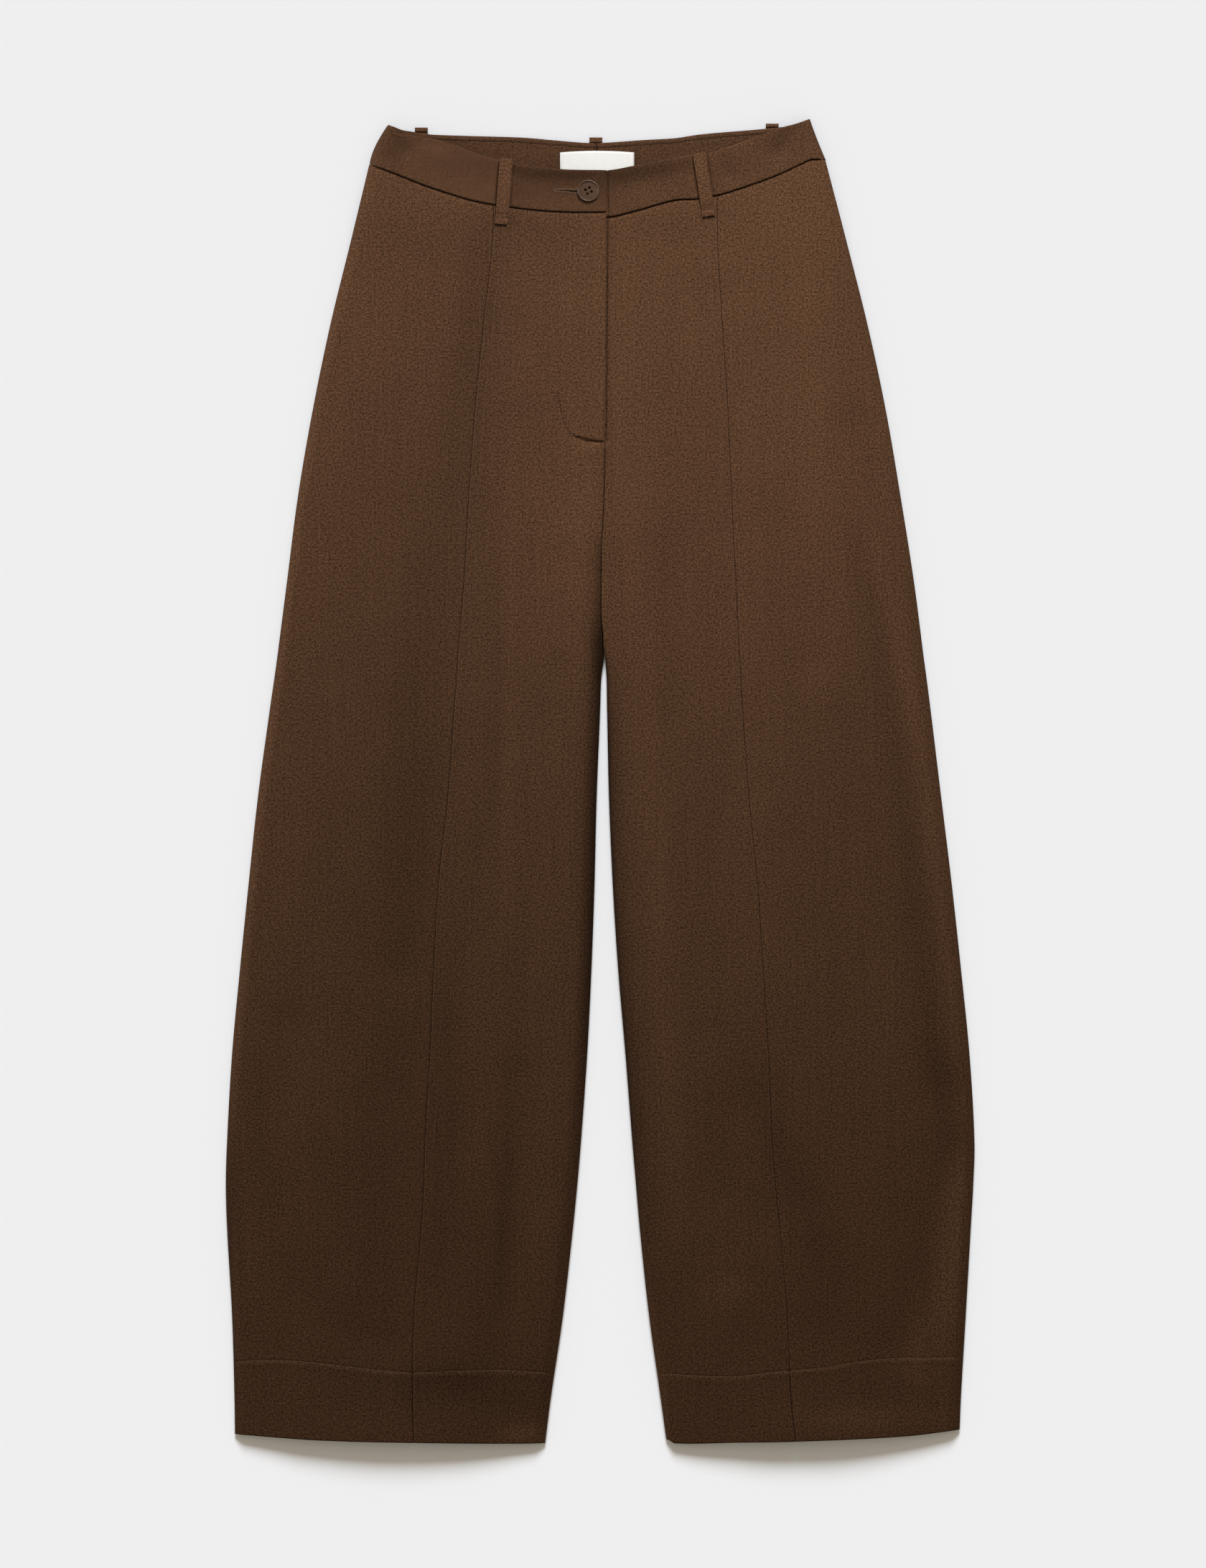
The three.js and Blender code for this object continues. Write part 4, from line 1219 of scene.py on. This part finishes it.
def make_button():
    bm = bmesh.new()
    well_radius = button_radius - rim_width
    outline = ring(bm, well_radius, button_segments, z=button_well)
    for quarter in range(4):
        angle = hole_turn + quarter * np.pi / 2
        across, up = hole_reach * np.cos(angle), hole_reach * np.sin(angle)
        outline += ring(bm, hole_radius, hole_segments, across, up, button_well)
    bmesh.ops.triangle_fill(bm, edges=outline, use_beauty=True)
    plate = bmesh.ops.extrude_face_region(bm, geom=bm.faces[:])["geom"]
    lower = [item for item in plate if isinstance(item, bmesh.types.BMVert)]
    bmesh.ops.translate(bm, verts=lower, vec=(0, 0, -button_well))
    rim = [bm.verts.new((well_radius + inset, 0, up)) for inset, up in rim_profile]
    line = [bm.edges.new(pair) for pair in zip(rim, rim[1:])]
    bmesh.ops.spin(
        bm, geom=rim + line, cent=(0, 0, 0), axis=(0, 0, 1), angle=2 * np.pi,
        steps=button_segments, use_merge=True,
    )
    bmesh.ops.remove_doubles(bm, verts=bm.verts, dist=0.001)
    walls = [
        face for face in bm.faces
        if face.normal.length and abs(face.calc_center_median().xy.length - well_radius) < 0.02
        and abs(face.normal.z) < 0.1
    ]
    bmesh.ops.delete(bm, geom=walls, context="FACES")
    bmesh.ops.recalc_face_normals(bm, faces=bm.faces)
    for face in bm.faces:
        face.smooth = abs(face.normal.z) < 0.999
    seat = band_surface(right, np.array(button_place.x), np.array(button_place.y)) + seam_gap
    place = Matrix.Translation((button_place.x, button_place.y, float(seat)))
    bm.transform(Matrix.Scale(mm, 4) @ place)
    return bm


def make_button_plastic():
    """Dark moulded plastic, satin on top and faintly clouded."""
    finish, n, surface = new_finish("brown_button_plastic")
    place = n.add("ShaderNodeTexCoord")["Object"]
    cloudy, fine = n.cloud(place, 260.0, 4.0), n.cloud(place, 2500.0, 2.0)
    n.fill(
        surface, Specular_IOR_Level=0.2, Roughness=n.math("MULTIPLY_ADD", fine, 0.14, 0.18),
        Base_Color=n.blend(cloudy, (0.052, 0.0285, 0.017, 1), (0.068, 0.0385, 0.0235, 1)),
        Normal=n.add("ShaderNodeBump", Strength=0.1, Distance=0.0001, Height=fine)[0],
    )
    return finish


add_piece("button", make_button(), make_button_plastic(), "button", "button")

hole_start, hole_end, hole_y = -36, -17.5, 477.6


def hole_gape(x):
    """Half the width of the open buttonhole."""
    return 0.12 + 0.6 * smooth(x, hole_start, hole_end)


def hole_edge(x, turn):
    return hole_y + turn * hole_gape(x) - 1.2 * smooth(x, hole_start, hole_end + 6)


hole_rows = [
    [(x, hole_edge(x, turn)), (x + 0.15, hole_edge(x, turn) + turn * 1.5)]
    for turn in (1, -1) for x in np.arange(hole_start, hole_end, 1.05)
]
hole_rows += [
    [(hole_start - 1.6, hole_y + k * 0.6), (hole_start - 0.2, hole_y + k * 0.3)] for k in (-1, 0, 1)
]
buttonhole_thread = make_thread("buttonhole_thread", (0.115, 0.07, 0.043))
sew(
    "buttonhole_stitching", hole_rows, lambda x, y: band_surface(right, x, y) + 0.3,
    buttonhole_thread, pitch=1.5, length=1.6, width=0.7,
)


# A dark sheet laid on the band in the buttonhole's gape, the twill darkened to 0.12: painted shade
# for the opening.
slit_columns, slit_rows = 30, 2


def slit_point(column, row):
    x = mix(hole_start - 0.3, hole_end + 2, column / slit_columns)
    y = mix(hole_edge(x, -1), hole_edge(x, 1), row / slit_rows)
    return x, y, band_surface(right, x, y) + 0.04, x


slit = add_piece(
    "buttonhole_slit", lay_cloth("slit", slit_columns, slit_rows, slit_point),
    twill_cloth("twill_inside", 0.9, 0.12), "cloth",
)
give_thickness(slit, 0.3)
